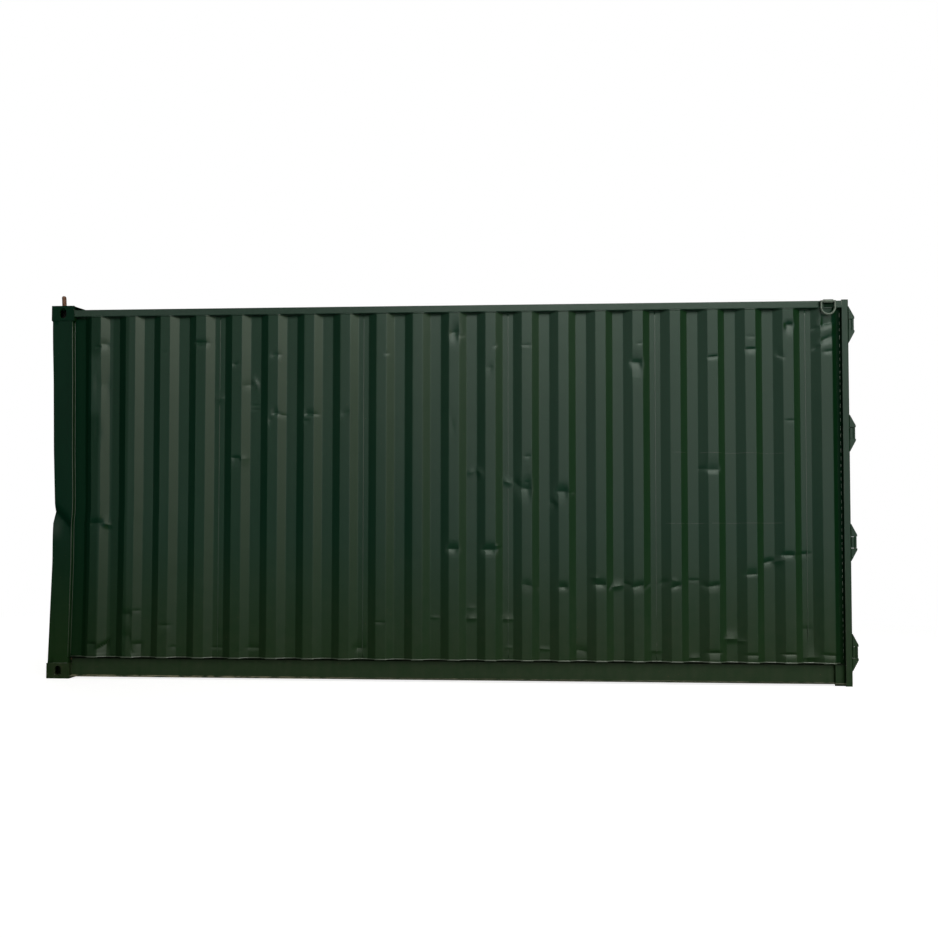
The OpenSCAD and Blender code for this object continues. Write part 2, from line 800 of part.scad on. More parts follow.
// Brackets that carry the rods on the leaf
module rod_brackets() {
    out = rod_gap + rod_d / 2;
    outer_r = rod_d / 2 + bracket_wall;
    color("darkgreen") for (y = rod_ys, z = bracket_zs)
        translate([rear_in_x, y, z - bracket_h / 2]) difference() {
            union() {
                translate([0, -bracket_w / 2, 0]) cube([bracket_foot, bracket_w, bracket_h]);
                translate([0, -outer_r, 0]) cube([out, 2 * outer_r, bracket_h]);
                translate([out, 0, 0]) cylinder(h = bracket_h, r = outer_r);
            }
            translate([out, 0, -cut]) cylinder(h = bracket_h + 2 * cut, r = rod_d / 2);
        }
}

// Hubs on the rods with level handle bars and their catches
module door_handles() {
    color("darkgreen") for (i = [0, 1])
        translate([rod_x, rod_ys[i], handle_z + i * handle_rise]) {
            difference() {
                union() {
                    translate([0, 0, -hub_h / 2]) cylinder(h = hub_h, r = rod_d / 2 + hub_wall);
                    mirror([0, i, 0]) translate([-handle_t / 2, 0, -handle_h / 2])
                        cube([handle_t, handle_l, handle_h]);
                }
                translate([0, 0, -hub_h / 2 - cut]) cylinder(h = hub_h + 2 * cut, r = rod_d / 2);
            }
            mirror([0, i, 0])
                translate([rear_in_x - rod_x, handle_l - catch_from_end, -handle_h / 2 - catch_over])
                    cube([rod_x - rear_in_x - handle_t / 2, catch_l, handle_h + 2 * catch_over]);
        }
}

casting_top();  // casting_front_near_top
casting();  // casting_front_near_bottom
far_side() casting_top();  // casting_front_far_top
far_side() casting();  // casting_front_far_bottom
front_post();  // front_post_near
far_side() front_post();  // front_post_far
front_sill();
front_header();
front_wall();
rear_post();  // rear_post_near
far_side() rear_post();  // rear_post_far
hinge_lugs();  // hinge_lugs_near
far_side() hinge_lugs();  // hinge_lugs_far
rear_sill();
rear_header();
bottom_rail();  // bottom_rail_near
far_side() bottom_rail();  // bottom_rail_far
top_rail();  // top_rail_near
far_side() top_rail();  // top_rail_far
side_wall();  // side_wall_near
far_side() side_wall();  // side_wall_far
roof();
roof_corner_plates();
floor_boards();
cross_members();
cam_keepers();
ring_saddle();  // ring_saddle_near
far_side() ring_saddle();  // ring_saddle_far
rusty_stub();
lifting_ring();  // lifting_ring_near
far_side() lifting_ring();  // lifting_ring_far
door_frame();  // door_frame_near
door_panel();  // door_panel_near
door_gasket();  // door_gasket_near
hinge_blades();  // hinge_blades_near
lock_rods();  // lock_rods_near
rod_brackets();  // rod_brackets_near
door_handles();  // door_handles_near
far_side() door_frame();  // door_frame_far
far_side() door_panel();  // door_panel_far
far_side() door_gasket();  // door_gasket_far
far_side() hinge_blades();  // hinge_blades_far
far_side() lock_rods();  // lock_rods_far
far_side() rod_brackets();  // rod_brackets_far
far_side() door_handles();  // door_handles_far
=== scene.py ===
"""Visible finish of a used steel shipping container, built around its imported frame."""
import math
import random
from functools import partial

import bmesh
import bpy
import numpy as np
from bpy.props import FloatProperty, FloatVectorProperty, IntProperty, PointerProperty
from mathutils import Matrix, Vector


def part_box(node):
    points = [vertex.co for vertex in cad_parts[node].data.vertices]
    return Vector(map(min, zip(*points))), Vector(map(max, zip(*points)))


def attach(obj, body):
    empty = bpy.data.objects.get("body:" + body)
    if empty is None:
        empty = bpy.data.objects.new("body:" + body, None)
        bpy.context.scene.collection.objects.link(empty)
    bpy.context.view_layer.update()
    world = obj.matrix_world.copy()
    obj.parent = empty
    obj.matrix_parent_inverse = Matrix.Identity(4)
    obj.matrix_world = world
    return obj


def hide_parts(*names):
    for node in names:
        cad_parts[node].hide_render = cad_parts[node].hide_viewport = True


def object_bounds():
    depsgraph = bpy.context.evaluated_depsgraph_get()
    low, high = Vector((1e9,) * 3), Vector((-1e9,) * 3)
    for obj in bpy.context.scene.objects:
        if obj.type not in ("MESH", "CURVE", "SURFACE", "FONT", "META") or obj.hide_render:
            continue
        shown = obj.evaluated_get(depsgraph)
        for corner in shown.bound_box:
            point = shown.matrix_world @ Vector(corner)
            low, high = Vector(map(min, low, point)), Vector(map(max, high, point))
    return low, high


bl_info = {
    "name": "Weathered shipping container",
    "version": (1, 0, 0),
    "blender": (4, 5, 0),
    "location": "View3D > Sidebar > Container",
    "description": "Dented walls, welds, fasteners, finishes and stage for a steel container",
    "category": "Add Mesh",
}

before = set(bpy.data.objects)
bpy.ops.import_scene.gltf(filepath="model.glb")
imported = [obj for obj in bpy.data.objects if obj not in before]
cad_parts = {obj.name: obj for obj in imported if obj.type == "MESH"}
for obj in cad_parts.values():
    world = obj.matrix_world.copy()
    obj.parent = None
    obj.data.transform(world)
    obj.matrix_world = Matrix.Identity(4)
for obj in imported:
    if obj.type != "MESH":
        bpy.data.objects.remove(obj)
CAD_LOW, CAD_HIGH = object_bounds()

# Where the near side wall, posts and rails lie, taken from the frame
WALL_LOW, WALL_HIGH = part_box("side_wall_near")
POST_LOW, POST_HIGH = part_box("front_post_near")
RAIL_LOW, RAIL_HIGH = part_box("bottom_rail_near")
FRONT_X = CAD_LOW.x

# Below this height the stub stands in the dark of the casting's top aperture
STUB_SHADE_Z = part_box("casting_front_near_top")[1].z - 0.030


def metres(name, text, default, low, high):
    """A length that a user may change."""
    return FloatProperty(name=name, description=text, default=default, min=low, max=high,
                         unit="LENGTH", subtype="DISTANCE", precision=4)


def count(name, text, default, low, high):
    """A whole number."""
    return IntProperty(name=name, description=text, default=default, min=low, max=high)


def share(name, text, default, high=1.0):
    """A plain number from nought up."""
    return FloatProperty(name=name, description=text, default=default, min=0.0, max=high)


def colour(name, text, default):
    """A colour in linear light."""
    return FloatVectorProperty(name=name, description=text, default=default, size=3,
                               subtype="COLOR", min=0.0, max=1.0)


class ContainerWall(bpy.types.PropertyGroup):
    """Sizes of the corrugated side sheets and their damage."""
    first: metres("First valley", "Flat at the front post before the first wave", 0.0865,
                  0.02, 0.2)
    crest: metres("Crest", "Width of an outer flat", 0.0755, 0.03, 0.12)
    slope: metres("Slope", "Width of a sloped band, seen from the side", 0.0615, 0.03, 0.12)
    valley: metres("Valley", "Width of an inner flat", 0.0785, 0.03, 0.12)
    depth: metres("Depth", "Depth of the waves", 0.036, 0.01, 0.06)
    thickness: metres("Sheet", "Thickness of the sheet", 0.002, 0.001, 0.004)
    bend: metres("Bend", "Half width of a rounded bend", 0.0030, 0.001, 0.01)
    waves: count("Waves", "Full waves along the wall", 20, 4, 40)
    per_sheet: count("Waves a sheet", "Waves between two seams", 4, 1, 10)
    first_seam: count("First seam", "Valley that holds the first seam", 3, 0, 10)
    damage: share("Damage", "Depth of every dent, as a share of the listed one", 1.3, 3.0)
    row_gap: metres("Row gap", "Distance between two rows of the mesh away from dents",
                    0.075, 0.02, 0.2)


class ContainerSteel(bpy.types.PropertyGroup):
    """Sizes of the bent post, the welds and the small fasteners."""
    plate: metres("Post plate", "Thickness of the front post", 0.006, 0.003, 0.01)
    bow: metres("Bow", "How far the middle of the front post is pushed in", 0.032, 0.0, 0.05)
    bow_reach: metres("Bow reach", "Distance over which the wall's own bow dies away", 0.45,
                      0.1, 2.0)
    twist: share("Twist", "How far the post's corner sinks, as a share of the bow", 0.35)
    bead: metres("Bead", "Radius of the weld beads", 0.0035, 0.001, 0.008)
    bolt: metres("Bolt", "Distance across the flats of a bolt head", 0.017, 0.008, 0.03)
    screw: metres("Screw", "Diameter of a floor screw", 0.014, 0.006, 0.02)


class ContainerColours(bpy.types.PropertyGroup):
    """Colours of the finishes."""
    paint: colour("Paint", "Dark green paint", (0.0021, 0.0262, 0.0122))
    faded: colour("Faded paint", "Green paint bleached by the weather", (0.0068, 0.0325, 0.0162))
    dirt: colour("Dirt", "Dust and dried mud", (0.075, 0.068, 0.047))
    rust: colour("Rust", "Rust that breaks through", (0.115, 0.043, 0.018))
    brown: colour("Brown rust", "Old rust on bare iron", (0.205, 0.105, 0.062))
    steel: colour("Bare steel", "Steel where the paint is rubbed off", (0.16, 0.155, 0.14))
    under: colour("Underside", "Black coat under the floor", (0.013, 0.013, 0.012))
    gear: colour("Lock gear", "Grey green of the galvanised rods", (0.10, 0.115, 0.105))
    rubber: colour("Rubber", "Door seal", (0.012, 0.012, 0.012))
    wood: colour("Floor wood", "Plywood under years of cargo", (0.19, 0.105, 0.052))


class ContainerStage(bpy.types.PropertyGroup):
    """Light, floor and camera."""
    key_power: share("Key power", "Watts of the large front lamp", 1150.0, 20000.0)
    key_turn: FloatProperty(name="Key turn", description="Turn of the front lamp to the right",
                            default=math.radians(28), subtype="ANGLE")
    key_rise: FloatProperty(name="Key rise", description="Height angle of the front lamp",
                            default=math.radians(19.5), subtype="ANGLE")
    key_width: metres("Key width", "Width of the front lamp", 13.3, 1.0, 20.0)
    key_height: metres("Key height", "Height of the front lamp", 10.6, 1.0, 20.0)
    fill_power: share("Fill power", "Watts of the narrow lamp at the left", 120.0, 5000.0)
    sky_power: share("Sky power", "Watts of the high card that only gloss shows", 1150.0, 20000.0)
    side_power: share("Side power", "Watts of the left card that only gloss shows", 230.0, 5000.0)
    distance: metres("Distance", "Distance of the lamps from the middle", 12.0, 5.0, 40.0)
    back_share: share("Back lamp", "Power of the rear lamp against the front one", 0.75)
    ambient: share("Ambient", "Light from all round", 0.045)
    mirrored: share("Reflected backdrop", "How much of the white the paint mirrors", 0.02)
    floor_glow: share("Floor glow", "White that the camera sees in the floor", 0.82)
    floor_tone: share("Floor tone", "Paleness of the floor", 0.55)
    floor_size: metres("Floor size", "Width of the floor", 80.0, 20.0, 200.0)


# Mesh helpers

def settings(context):
    """The four groups of values."""
    scene = context.scene
    return (scene.container_wall, scene.container_steel, scene.container_colours,
            scene.container_stage)


def add_mesh(name, points, faces, smooth=True):
    """A mesh object in the row frame."""
    mesh = bpy.data.meshes.new(name)
    mesh.from_pydata([tuple(p) for p in points], [], faces)
    mesh.update()
    made = bpy.data.objects.new(name, mesh)
    bpy.context.scene.collection.objects.link(made)
    if smooth:
        mesh.shade_smooth()
    return made


def read(items, key, kind=np.float64, width=1):
    """One attribute of all faces or corners of a mesh, a row for each."""
    found = np.empty(len(items) * width, dtype=kind)
    items.foreach_get(key, found)
    return found.reshape(-1, width)


def broad_normals(made):
    """Shades a sheet so that its narrow bends look rounded and its wide flats stay flat."""
    mesh = made.data
    weighted = read(mesh.polygons, "normal", width=3) * read(mesh.polygons, "area")
    totals = read(mesh.polygons, "loop_total", np.int64).ravel()
    corners = read(mesh.loops, "vertex_index", np.int64).ravel()
    summed = np.zeros((len(mesh.vertices), 3))
    np.add.at(summed, corners, np.repeat(weighted, totals, axis=0))
    lengths = np.maximum(np.linalg.norm(summed, axis=1), 1e-12)
    mesh.normals_split_custom_set_from_vertices((summed / lengths[:, None]).tolist())


def tube_faces(base, count, spans):
    """Faces between rings of points that follow one another, each ring of one count."""
    return [(a + k, a + n, a + count + n, a + count + k)
            for a in range(base, base + spans * count, count)
            for k, n in zip(range(count), (*range(1, count), 0))]


def sheet_solid(name, front, back):
    """Closes two grids of points, front and back, into one thin solid with sharp rims."""
    rows, columns = front.shape[:2]
    points = np.concatenate([front.reshape(-1, 3), back.reshape(-1, 3)])
    half = rows * columns
    faces = []
    for r in range(rows - 1):
        for c in range(columns - 1):
            a = r * columns + c
            b, d, e = a + 1, a + columns + 1, a + columns
            faces += [(a, b, d, e), (half + e, half + d, half + b, half + a)]
    rim = [(0, c) for c in range(columns)] + [(r, columns - 1) for r in range(1, rows)]
    rim += [(rows - 1, c) for c in reversed(range(columns - 1))]
    rim += [(r, 0) for r in reversed(range(rows - 1))]
    edge = len(points)
    extra = []
    for here, ahead in zip(rim, rim[1:]):
        extra += [front[here], front[ahead], back[ahead], back[here]]
        faces.append((edge + 3, edge + 2, edge + 1, edge))
        edge += 4
    made = add_mesh(name, np.concatenate([points, np.array(extra)]), faces)
    broad_normals(made)
    return made


def swept(name, runs, outline):
    """Sweeps a small outline along each run of points and caps the ends."""
    points, faces = [], []
    count = len(outline)
    for run, side in runs:
        base = len(points)
        last = len(run) - 1
        side = Vector(side)
        for i, place in enumerate(run):
            ahead = Vector(run[min(i + 1, last)]) - Vector(run[max(i - 1, 0)])
            ahead.normalize()
            up = ahead.cross(side).normalized()
            out = up.cross(ahead).normalized()
            points += [Vector(place) + out * a + up * b for a, b in outline]
        faces += tube_faces(base, count, last)
        faces.append([base + k for k in reversed(range(count))])
        faces.append([base + last * count + k for k in range(count)])
    return add_mesh(name, points, faces)


def bead_outline(radius, proud=1.0, wide=1.0):
    """Half round weld section, or a flatter and narrower one."""
    turns = [math.radians(a) for a in (-80, -40, 0, 40, 80)]
    return [(radius * math.cos(a) * proud, radius * math.sin(a) * wide) for a in turns]


def both_sides(run, shift):
    """A run of points on the damaged near side and its even mirror image on the far side,
    each with the direction that it faces."""
    return [([(x + shift(x, z), y, z) for x, y, z in run], (0.0, -1.0, 0.0)),
            ([(x, -y, z) for x, y, z in run], (0.0, 1.0, 0.0))]


def prism(points, faces, centre, axis, across, height, sides=6, crown=0.75):
    """Adds a bolt head: a prism with a chamfered crown, standing along an axis."""
    axis = Vector(axis).normalized()
    helper = Vector((0, 0, 1)) if abs(axis.z) < 0.9 else Vector((1, 0, 0))
    u = axis.cross(helper).normalized()
    v = axis.cross(u)
    radius = across / 2 / math.cos(math.pi / sides)
    turns = [2 * math.pi * k / sides for k in range(sides)]
    spokes = [u * math.cos(turn) + v * math.sin(turn) for turn in turns]
    base = len(points)
    for size, rise in ((1.0, 0.0), (1.0, crown), (0.8, 1.0)):
        points += [Vector(centre) + spoke * radius * size + axis * height * rise
                   for spoke in spokes]
    faces += tube_faces(base, sides, 2)
    faces.append([base + 2 * sides + k for k in range(sides)])
    faces.append([base + k for k in reversed(range(sides))])


def settle(made, body, finish, stands_for=()):
    """Gives a piece its finish and its body, and hides the CAD nodes that it stands for."""
    made.data.materials.clear()
    made.data.materials.append(bpy.data.materials[finish])
    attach(made, body)
    if stands_for:
        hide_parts(*stands_for)


# Damage on the near wall, in millimetres: the place from the front face and from the ground,
# half the width, the height above the crease and below it, the depth, and then its slope
DENTS_MM = (
    (350, 270, 35, 10, 60, 10, 0), (365, 1200, 45, 30, 60, 10, 0.05),
    (372, 2570, 22, 20, 40, 6, 0.3), (375, 1900, 30, 160, 160, 6, 0),
    (392, 2280, 55, 200, 260, 10, 0), (412, 2600, 26, 30, 35, 7, 0),
    (425, 258, 45, 12, 70, 14, 0.75), (440, 1190, 30, 60, 20, -10, -0.3),
    (620, 500, 35, 30, 80, 8, 0.1), (620, 330, 30, 50, 100, 7, 0), (662, 215, 20, 60, 60, 6, -5),
    (690, 525, 22, 12, 15, 3, 0), (700, 270, 30, 15, 70, 10, 0), (905, 2525, 22, 12, 20, 1.5, 0),
    (915, 415, 35, 12, 20, 4, 0.05), (980, 250, 12, 10, 25, 5, 0), (1180, 2598, 50, 18, 30, 10, 0),
    (1320, 245, 40, 12, 12, 4, 0), (1325, 2165, 35, 40, 30, -6, 0.2),
    (1455, 2425, 24, 18, 25, 6, 0), (1465, 1702, 35, 15, 50, 8, -0.05),
    (1520, 1695, 30, 30, 40, -5, 0.1), (1545, 2270, 30, 30, 30, 4, 0.2),
    (1600, 2290, 24, 30, 45, -8, -1.2), (1605, 245, 45, 20, 15, 6, 0),
    (1607, 2112, 32, 10, 12, 3, 0.05), (1607, 2080, 30, 12, 12, 2.5, 0.05),
    (1725, 1995, 16, 30, 45, 6, 0), (1765, 2497, 36, 22, 22, 6, 0.1),
    (1765, 2045, 26, 40, 20, 9, 0), (1815, 2035, 30, 15, 25, 4, -0.05),
    (2000, 1985, 22, 15, 20, 4, 0), (2020, 2038, 30, 35, 15, 8, 0), (2070, 2036, 28, 20, 12, 5, 0),
    (2300, 2045, 30, 25, 25, 4, 0.4), (2420, 250, 40, 35, 25, 8, 0), (2570, 448, 40, 10, 12, 3, 0),
    (2620, 2500, 12, 15, 15, 4, 0.3), (2990, 486, 28, 12, 12, -3, 0),
    (3120, 1945, 12, 50, 50, 3, -2.2), (3125, 1005, 40, 35, 30, 12, 0),
    (3135, 2658, 34, 55, 60, 14, 0.05), (3190, 2632, 22, 25, 15, 3, 0),
    (3262, 1592, 26, 25, 25, -4, 0.3), (3265, 560, 28, 20, 30, -3, 0),
    (3265, 478, 34, 30, 15, -8, 0), (3325, 1590, 22, 30, 30, -6, -0.8),
    (3400, 2385, 22, 30, 50, 4, 0), (3400, 1000, 48, 35, 30, 14, 0),
    (3440, 2550, 10, 20, 20, 4, 0), (3460, 1030, 18, 12, 12, -4, 0),
    (3540, 1512, 30, 30, 25, -6, -0.3), (3540, 476, 36, 28, 15, -7, 0),
    (3550, 262, 20, 15, 15, -3, 0), (3615, 1490, 30, 40, 50, 8, -1),
    (3675, 2553, 38, 12, 12, 2.5, 0), (3675, 1462, 36, 85, 70, 14, -0.15),
    (3685, 1706, 24, 20, 15, 4, 0), (3685, 1512, 10, 10, 10, 3, 0),
    (3685, 735, 36, 30, 40, 5, -0.2), (3750, 715, 18, 20, 20, 4, -0.8),
    (3815, 253, 36, 15, 10, -4, -0.1), (3880, 1350, 22, 30, 35, 6, -0.5),
    (3945, 1440, 40, 50, 60, 12, 0), (3950, 720, 30, 30, 20, 11, 0),
    (4010, 1430, 20, 20, 20, 4, 0), (4090, 245, 40, 30, 30, 6, -0.2),
    (4190, 790, 20, 15, 20, -4, 0), (4225, 740, 42, 30, 25, 12, 0),
    (4300, 720, 22, 25, 20, 6, 0.9), (4355, 728, 40, 30, 20, -10, 0.15),
    (4430, 745, 20, 15, 20, 5, -0.4), (4500, 2415, 44, 45, 80, 15, -0.15),
    (4505, 730, 42, 25, 30, 12, 0.25), (4525, 2558, 12, 15, 12, 4, 0.3),
    (4570, 730, 25, 25, 20, 6, 0.8), (4635, 245, 40, 160, 12, -6, 0),
    (4700, 760, 20, 20, 20, 5, 0.5), (4775, 770, 18, 15, 15, -5, -0.7),
    (4785, 730, 34, 20, 20, 10, 0.4), (4925, 775, 35, 12, 12, 3, 0),
    (4925, 195, 34, 25, 10, -6, 0.1), (4985, 1612, 24, 20, 15, 5, 0),
    (5000, 735, 20, 30, 20, 5, -0.4), (5060, 1602, 50, 60, 25, 11, 0),
    (5060, 735, 44, 20, 30, 11, 0.2), (5065, 2452, 38, 12, 18, 8, 0.1),
    (5065, 240, 50, 8, 30, 12, 0), (5190, 340, 45, 40, 20, -12, 0), (5265, 325, 22, 20, 15, -5, 0),
    (5335, 820, 40, 35, 12, 8, 0.1), (5340, 222, 44, 10, 14, 7, 0),
    (5345, 2600, 30, 15, 15, 2.5, 0), (5345, 2508, 40, 12, 30, 8, 0),
    (5470, 915, 38, 20, 25, 11, 0.3), (5535, 920, 30, 25, 20, -6, 0.3),
    (5565, 2455, 24, 35, 20, 6, -0.8), (5605, 965, 40, 20, 20, 12, 0),
    (5610, 232, 46, 8, 16, 10, 0), (5625, 2690, 32, 25, 60, 14, 0), (5625, 1970, 36, 10, 20, 4, 0),
    (5670, 955, 22, 20, 20, 6, 0.6), (5735, 975, 36, 15, 20, 6, 0.1),
    (5745, 420, 36, 20, 70, 4, 0), (5775, 205, 40, 60, 15, -8, 0),
    (5830, 2665, 22, 12, 20, 5, 0.3), (5830, 2515, 20, 20, 15, 6, 0.5),
    (5900, 228, 50, 10, 16, 9, -0.1), (5905, 2700, 48, 100, 35, 17, 0.3),
    (5905, 2585, 48, 30, 35, 13, 0.5), (5910, 2485, 42, 15, 22, 7, 0.1),
)
DENTS = [(*(value / 1000 for value in lengths), rise) for *lengths, rise in DENTS_MM]

# How far the waves stray from an even pitch: place from the front face, shift towards the doors
DRIFT = ((0.25, 0.0), (0.5, -0.004), (0.95, -0.009), (1.4, 0.0), (1.9, 0.007), (2.7, 0.009),
         (3.3, 0.006), (3.9, 0.0))

# How far the front end is pushed in at each height, as a share of the deepest place
BOW = ((0.13, 0.0), (0.45, 0.28), (0.70, 0.50), (0.91, 0.68), (1.20, 0.62), (1.285, 0.98),
       (1.38, 1.0), (1.77, 0.62), (2.32, 0.34), (2.60, 0.08), (2.75, 0.0))

JAMB_STEP = 0.024      # depth of the last slope where it runs out on the door jamb
COLUMN_GAP = 0.0165    # widest gap between two columns of the wall's mesh
ROW_SPACE = 0.004      # least gap between two of its rows
DENT_REACH = 0.1       # how far outside a sheet a dent may lie and still move it
CALM_RIM = 0.03        # height over which the damage dies away at the wall's foot and head


def bow_at(steel, x, z):
    """How far the post and the wall are pushed towards the doors at a place."""
    return steel.bow * np.interp(z, *zip(*BOW)) * np.exp((FRONT_X - x) / steel.bow_reach)


def drift_at(x):
    """How far the waves are off their even places, for distances from the front face."""
    return np.interp(x, *zip(*DRIFT))


def seam_places(wall):
    """Distances along the wall at which one sheet is welded to the next."""
    pitch = wall.crest + wall.valley + 2 * wall.slope
    first = wall.first + 2 * wall.slope + wall.crest + wall.valley / 2
    return [first + pitch * i for i in range(wall.first_seam, wall.waves, wall.per_sheet)]


def wall_corners(wall):
    """Corners of the wave as distance along the wall and depth behind the outer flats."""
    corners = [(0.0, wall.depth)]
    place = wall.first
    for _ in range(wall.waves + 1):
        corners += [(place, wall.depth), (place + wall.slope, 0.0),
                    (place + wall.slope + wall.crest, 0.0)]
        place += 2 * wall.slope + wall.crest
        corners.append((place, wall.depth))
        place += wall.valley
    return corners[:-2]


def wall_profile(wall):
    """The wave as columns with rounded bends, and its run out on the door jamb."""
    run_out = WALL_HIGH.x - WALL_LOW.x
    tail = wall.slope * JAMB_STEP / wall.depth
    corners = wall_corners(wall) + [(run_out - tail, 0.0), (run_out, JAMB_STEP)]
    columns = [corners[0]]
    for (x0, d0), (x1, d1), (x2, d2) in zip(corners, corners[1:], corners[2:]):
        back, ahead = wall.bend / (x1 - x0), wall.bend / (x2 - x1)
        before = (x1 - wall.bend, d1 - (d1 - d0) * back)
        after = (x1 + wall.bend, d1 + (d2 - d1) * ahead)
        middle = (x1, d1 / 2 + (before[1] + after[1]) / 4)
        columns += [before, middle, after]
    columns.append(corners[-1])
    return columns


def filled(columns):
    """More columns where two lie far apart."""
    full = [columns[0]]
    for (x0, d0), (x1, d1) in zip(columns, columns[1:]):
        parts = max(1, math.ceil((x1 - x0) / COLUMN_GAP))
        full += [(x0 + (x1 - x0) * i / parts, d0 + (d1 - d0) * i / parts)
                 for i in range(1, parts + 1)]
    return full


def push(x, z, dents, damage):
    """How far each grid point is pushed in: a sharp fold with a soft hollow round it."""
    total = np.zeros(np.broadcast(x, z).shape)
    for dx, dz, wide, above, below, depth, rise in dents:
        along = (x - dx) / wide
        height = z - dz - rise * (x - dx)
        reach = np.where(height > 0, height / above, -height / below)
        crease = 0.45 * np.exp(-2.5 * reach) + 0.55 * np.exp(-0.8 * reach ** 2)
        total += damage * depth * np.exp(-along ** 4) * crease
    return total


def dent_rows(low, high, gap, dents):
    """Heights of the mesh rows, close together round each crease."""
    count = math.ceil((high - low) / gap)
    heights = {round(low + (high - low) * i / count, 5) for i in range(count + 1)}
    for _, dz, _, above, below, _, _ in dents:
        heights |= {round(dz + reach * step, 5) for reach in (above, -below)
                    for step in (0.0, 0.15, 0.4, 0.8, 1.4, 2.1)}
    rows = [low]
    for z in sorted(h for h in heights if low < h < high):
        if z - rows[-1] > ROW_SPACE:
            rows.append(z)
    if high - rows[-1] < ROW_SPACE:
        rows.pop()
    return rows + [high]


class CONTAINER_OT_near_wall(bpy.types.Operator):
    """Builds the near side wall from its pressed sheets, with its dents"""
    bl_idname = "container.near_wall"
    bl_label = "Near side wall"
    bl_options = {"REGISTER", "UNDO"}

    def execute(self, context):
        wall, steel = settings(context)[:2]
        columns = filled(wall_profile(wall))
        ends = [0.0, *seam_places(wall), columns[-1][0]]
        for number, (start, stop) in enumerate(zip(ends, ends[1:]), 1):
            own = [c for c in columns if start - 1e-6 < c[0] < stop + 1e-6]
            for limit in (start, stop):
                if not any(abs(c[0] - limit) < 1e-6 for c in own):
                    own.append((limit, wall.depth))
            own.sort()
            near = [dent for dent in DENTS
                    if start - DENT_REACH < dent[0] - (WALL_LOW.x - FRONT_X) < stop + DENT_REACH]
            x, depth = np.array(own).T
            x = x + WALL_LOW.x
            x = x + drift_at(x - FRONT_X)
            z = np.array(dent_rows(WALL_LOW.z, WALL_HIGH.z, wall.row_gap, near))
            grid_x, grid_z = np.meshgrid(x, z)
            rim = np.minimum(grid_z - WALL_LOW.z, WALL_HIGH.z - grid_z)
            edge = np.clip(rim / CALM_RIM, 0, 1)
            pushed = push(grid_x - FRONT_X, grid_z, near, wall.damage) * edge
            grid_y = WALL_LOW.y + depth[None, :] + pushed
            grid_x = grid_x + bow_at(steel, grid_x, grid_z)
            front = np.stack([grid_x, grid_y, grid_z], axis=-1)
            back = front + np.array([0.0, wall.thickness, 0.0])
            made = sheet_solid(f"near_wall_sheet_{number}", front, back)
            settle(made, "root", "wall_paint", ("side_wall_near",))
        return {"FINISHED"}


# Hollows of the near front post, each as in DENTS
POST_DENTS = ((0.065, 1.240, 0.110, 0.045, 0.110, 0.028, -0.85),
              (0.060, 0.780, 0.035, 0.050, 0.070, 0.004, 0.30),
              (0.090, 2.330, 0.030, 0.050, 0.060, 0.003, -0.20))
POST_CORNER = 0.009         # outer radius of the post's folded corners
POST_LIP = 0.048            # depth of its flange beside the wall
POST_FLANGE = 0.060         # width of its flange at the front wall
POST_KINKS = (0.05, 0.09)   # extra points on its front, where the bow may bend it
SKIN = 0.004                # a point this close behind the plate's back follows the hollows
POST_ROWS = 48              # even rows of its mesh
CREASE_ROWS = [1.05 + 0.015 * i for i in range(24)]   # more of them round the main hollow


class CONTAINER_OT_front_post(bpy.types.Operator):
    """Builds the near front post, bowed in and creased"""
    bl_idname = "container.front_post"
    bl_label = "Bent front post"
    bl_options = {"REGISTER", "UNDO"}

    def outline(self, t):
        """Section of the post, outside first and then back along the inside."""
        low, high, r = POST_LOW, POST_HIGH, POST_CORNER
        turns = [math.radians(a) for a in (180, 202, 225, 248, 270)]
        outer, inner = ([(low.x + r + size * math.cos(a), low.y + r + size * math.sin(a))
                         for a in turns] for size in (r, r - t))
        steps = 9
        side = [low.x + r + (high.x - low.x - 2 * r) * i / steps for i in range(1, steps)]
        near, far = POST_KINKS
        return [(low.x + POST_FLANGE, high.y), (low.x + POST_FLANGE - t * 2, high.y),
                (low.x + t, high.y), (low.x, high.y - t), (low.x, low.y + far),
                (low.x, low.y + near), *outer, *((x, low.y) for x in side),
                (high.x - r, low.y), (high.x - r * 0.3, low.y + r * 0.3), (high.x, low.y + r),
                (high.x, low.y + POST_LIP), (high.x - t, low.y + POST_LIP),
                (high.x - t, low.y + t + 0.002), (high.x - t - 0.002, low.y + t),
                *((x, low.y + t) for x in reversed(side)), *reversed(inner),
                (low.x + t, low.y + near), (low.x + t, low.y + far), (low.x + t, high.y - t),
                (low.x + POST_FLANGE, high.y - t)]

    def execute(self, context):
        steel = settings(context)[1]
        low, high = POST_LOW, POST_HIGH
        outline = self.outline(steel.plate)
        rows = sorted({round(low.z + (high.z - low.z) * i / POST_ROWS, 4)
                       for i in range(POST_ROWS + 1)} | {*CREASE_ROWS})
        points = []
        for z in rows:
            for x, y in outline:
                bow = float(bow_at(steel, x, z))
                sunk = bow * steel.twist * max(0.0, (high.x - x) / (high.x - low.x))
                if y < low.y + steel.plate + SKIN:
                    sunk += float(push(np.array(x - FRONT_X), np.array(z), POST_DENTS, 1.0))
                points.append((x + bow, y + sunk, z))
        count = len(outline)
        faces = [(a, d, c, b) for a, b, c, d in tube_faces(0, count, len(rows) - 1)]
        made = add_mesh("bowed_front_post_near", points, faces)
        build = bmesh.new()
        build.from_mesh(made.data)
        build.verts.ensure_lookup_table()
        for base in (0, (len(rows) - 1) * count):
            build.faces.new([build.verts[base + k] for k in range(count)])
        bmesh.ops.triangulate(build, faces=[f for f in build.faces if len(f.verts) > 4])
        bmesh.ops.recalc_face_normals(build, faces=build.faces)
        build.to_mesh(made.data)
        build.free()
        broad_normals(made)
        settle(made, "root", "post_paint", ("front_post_near",))
        return {"FINISHED"}


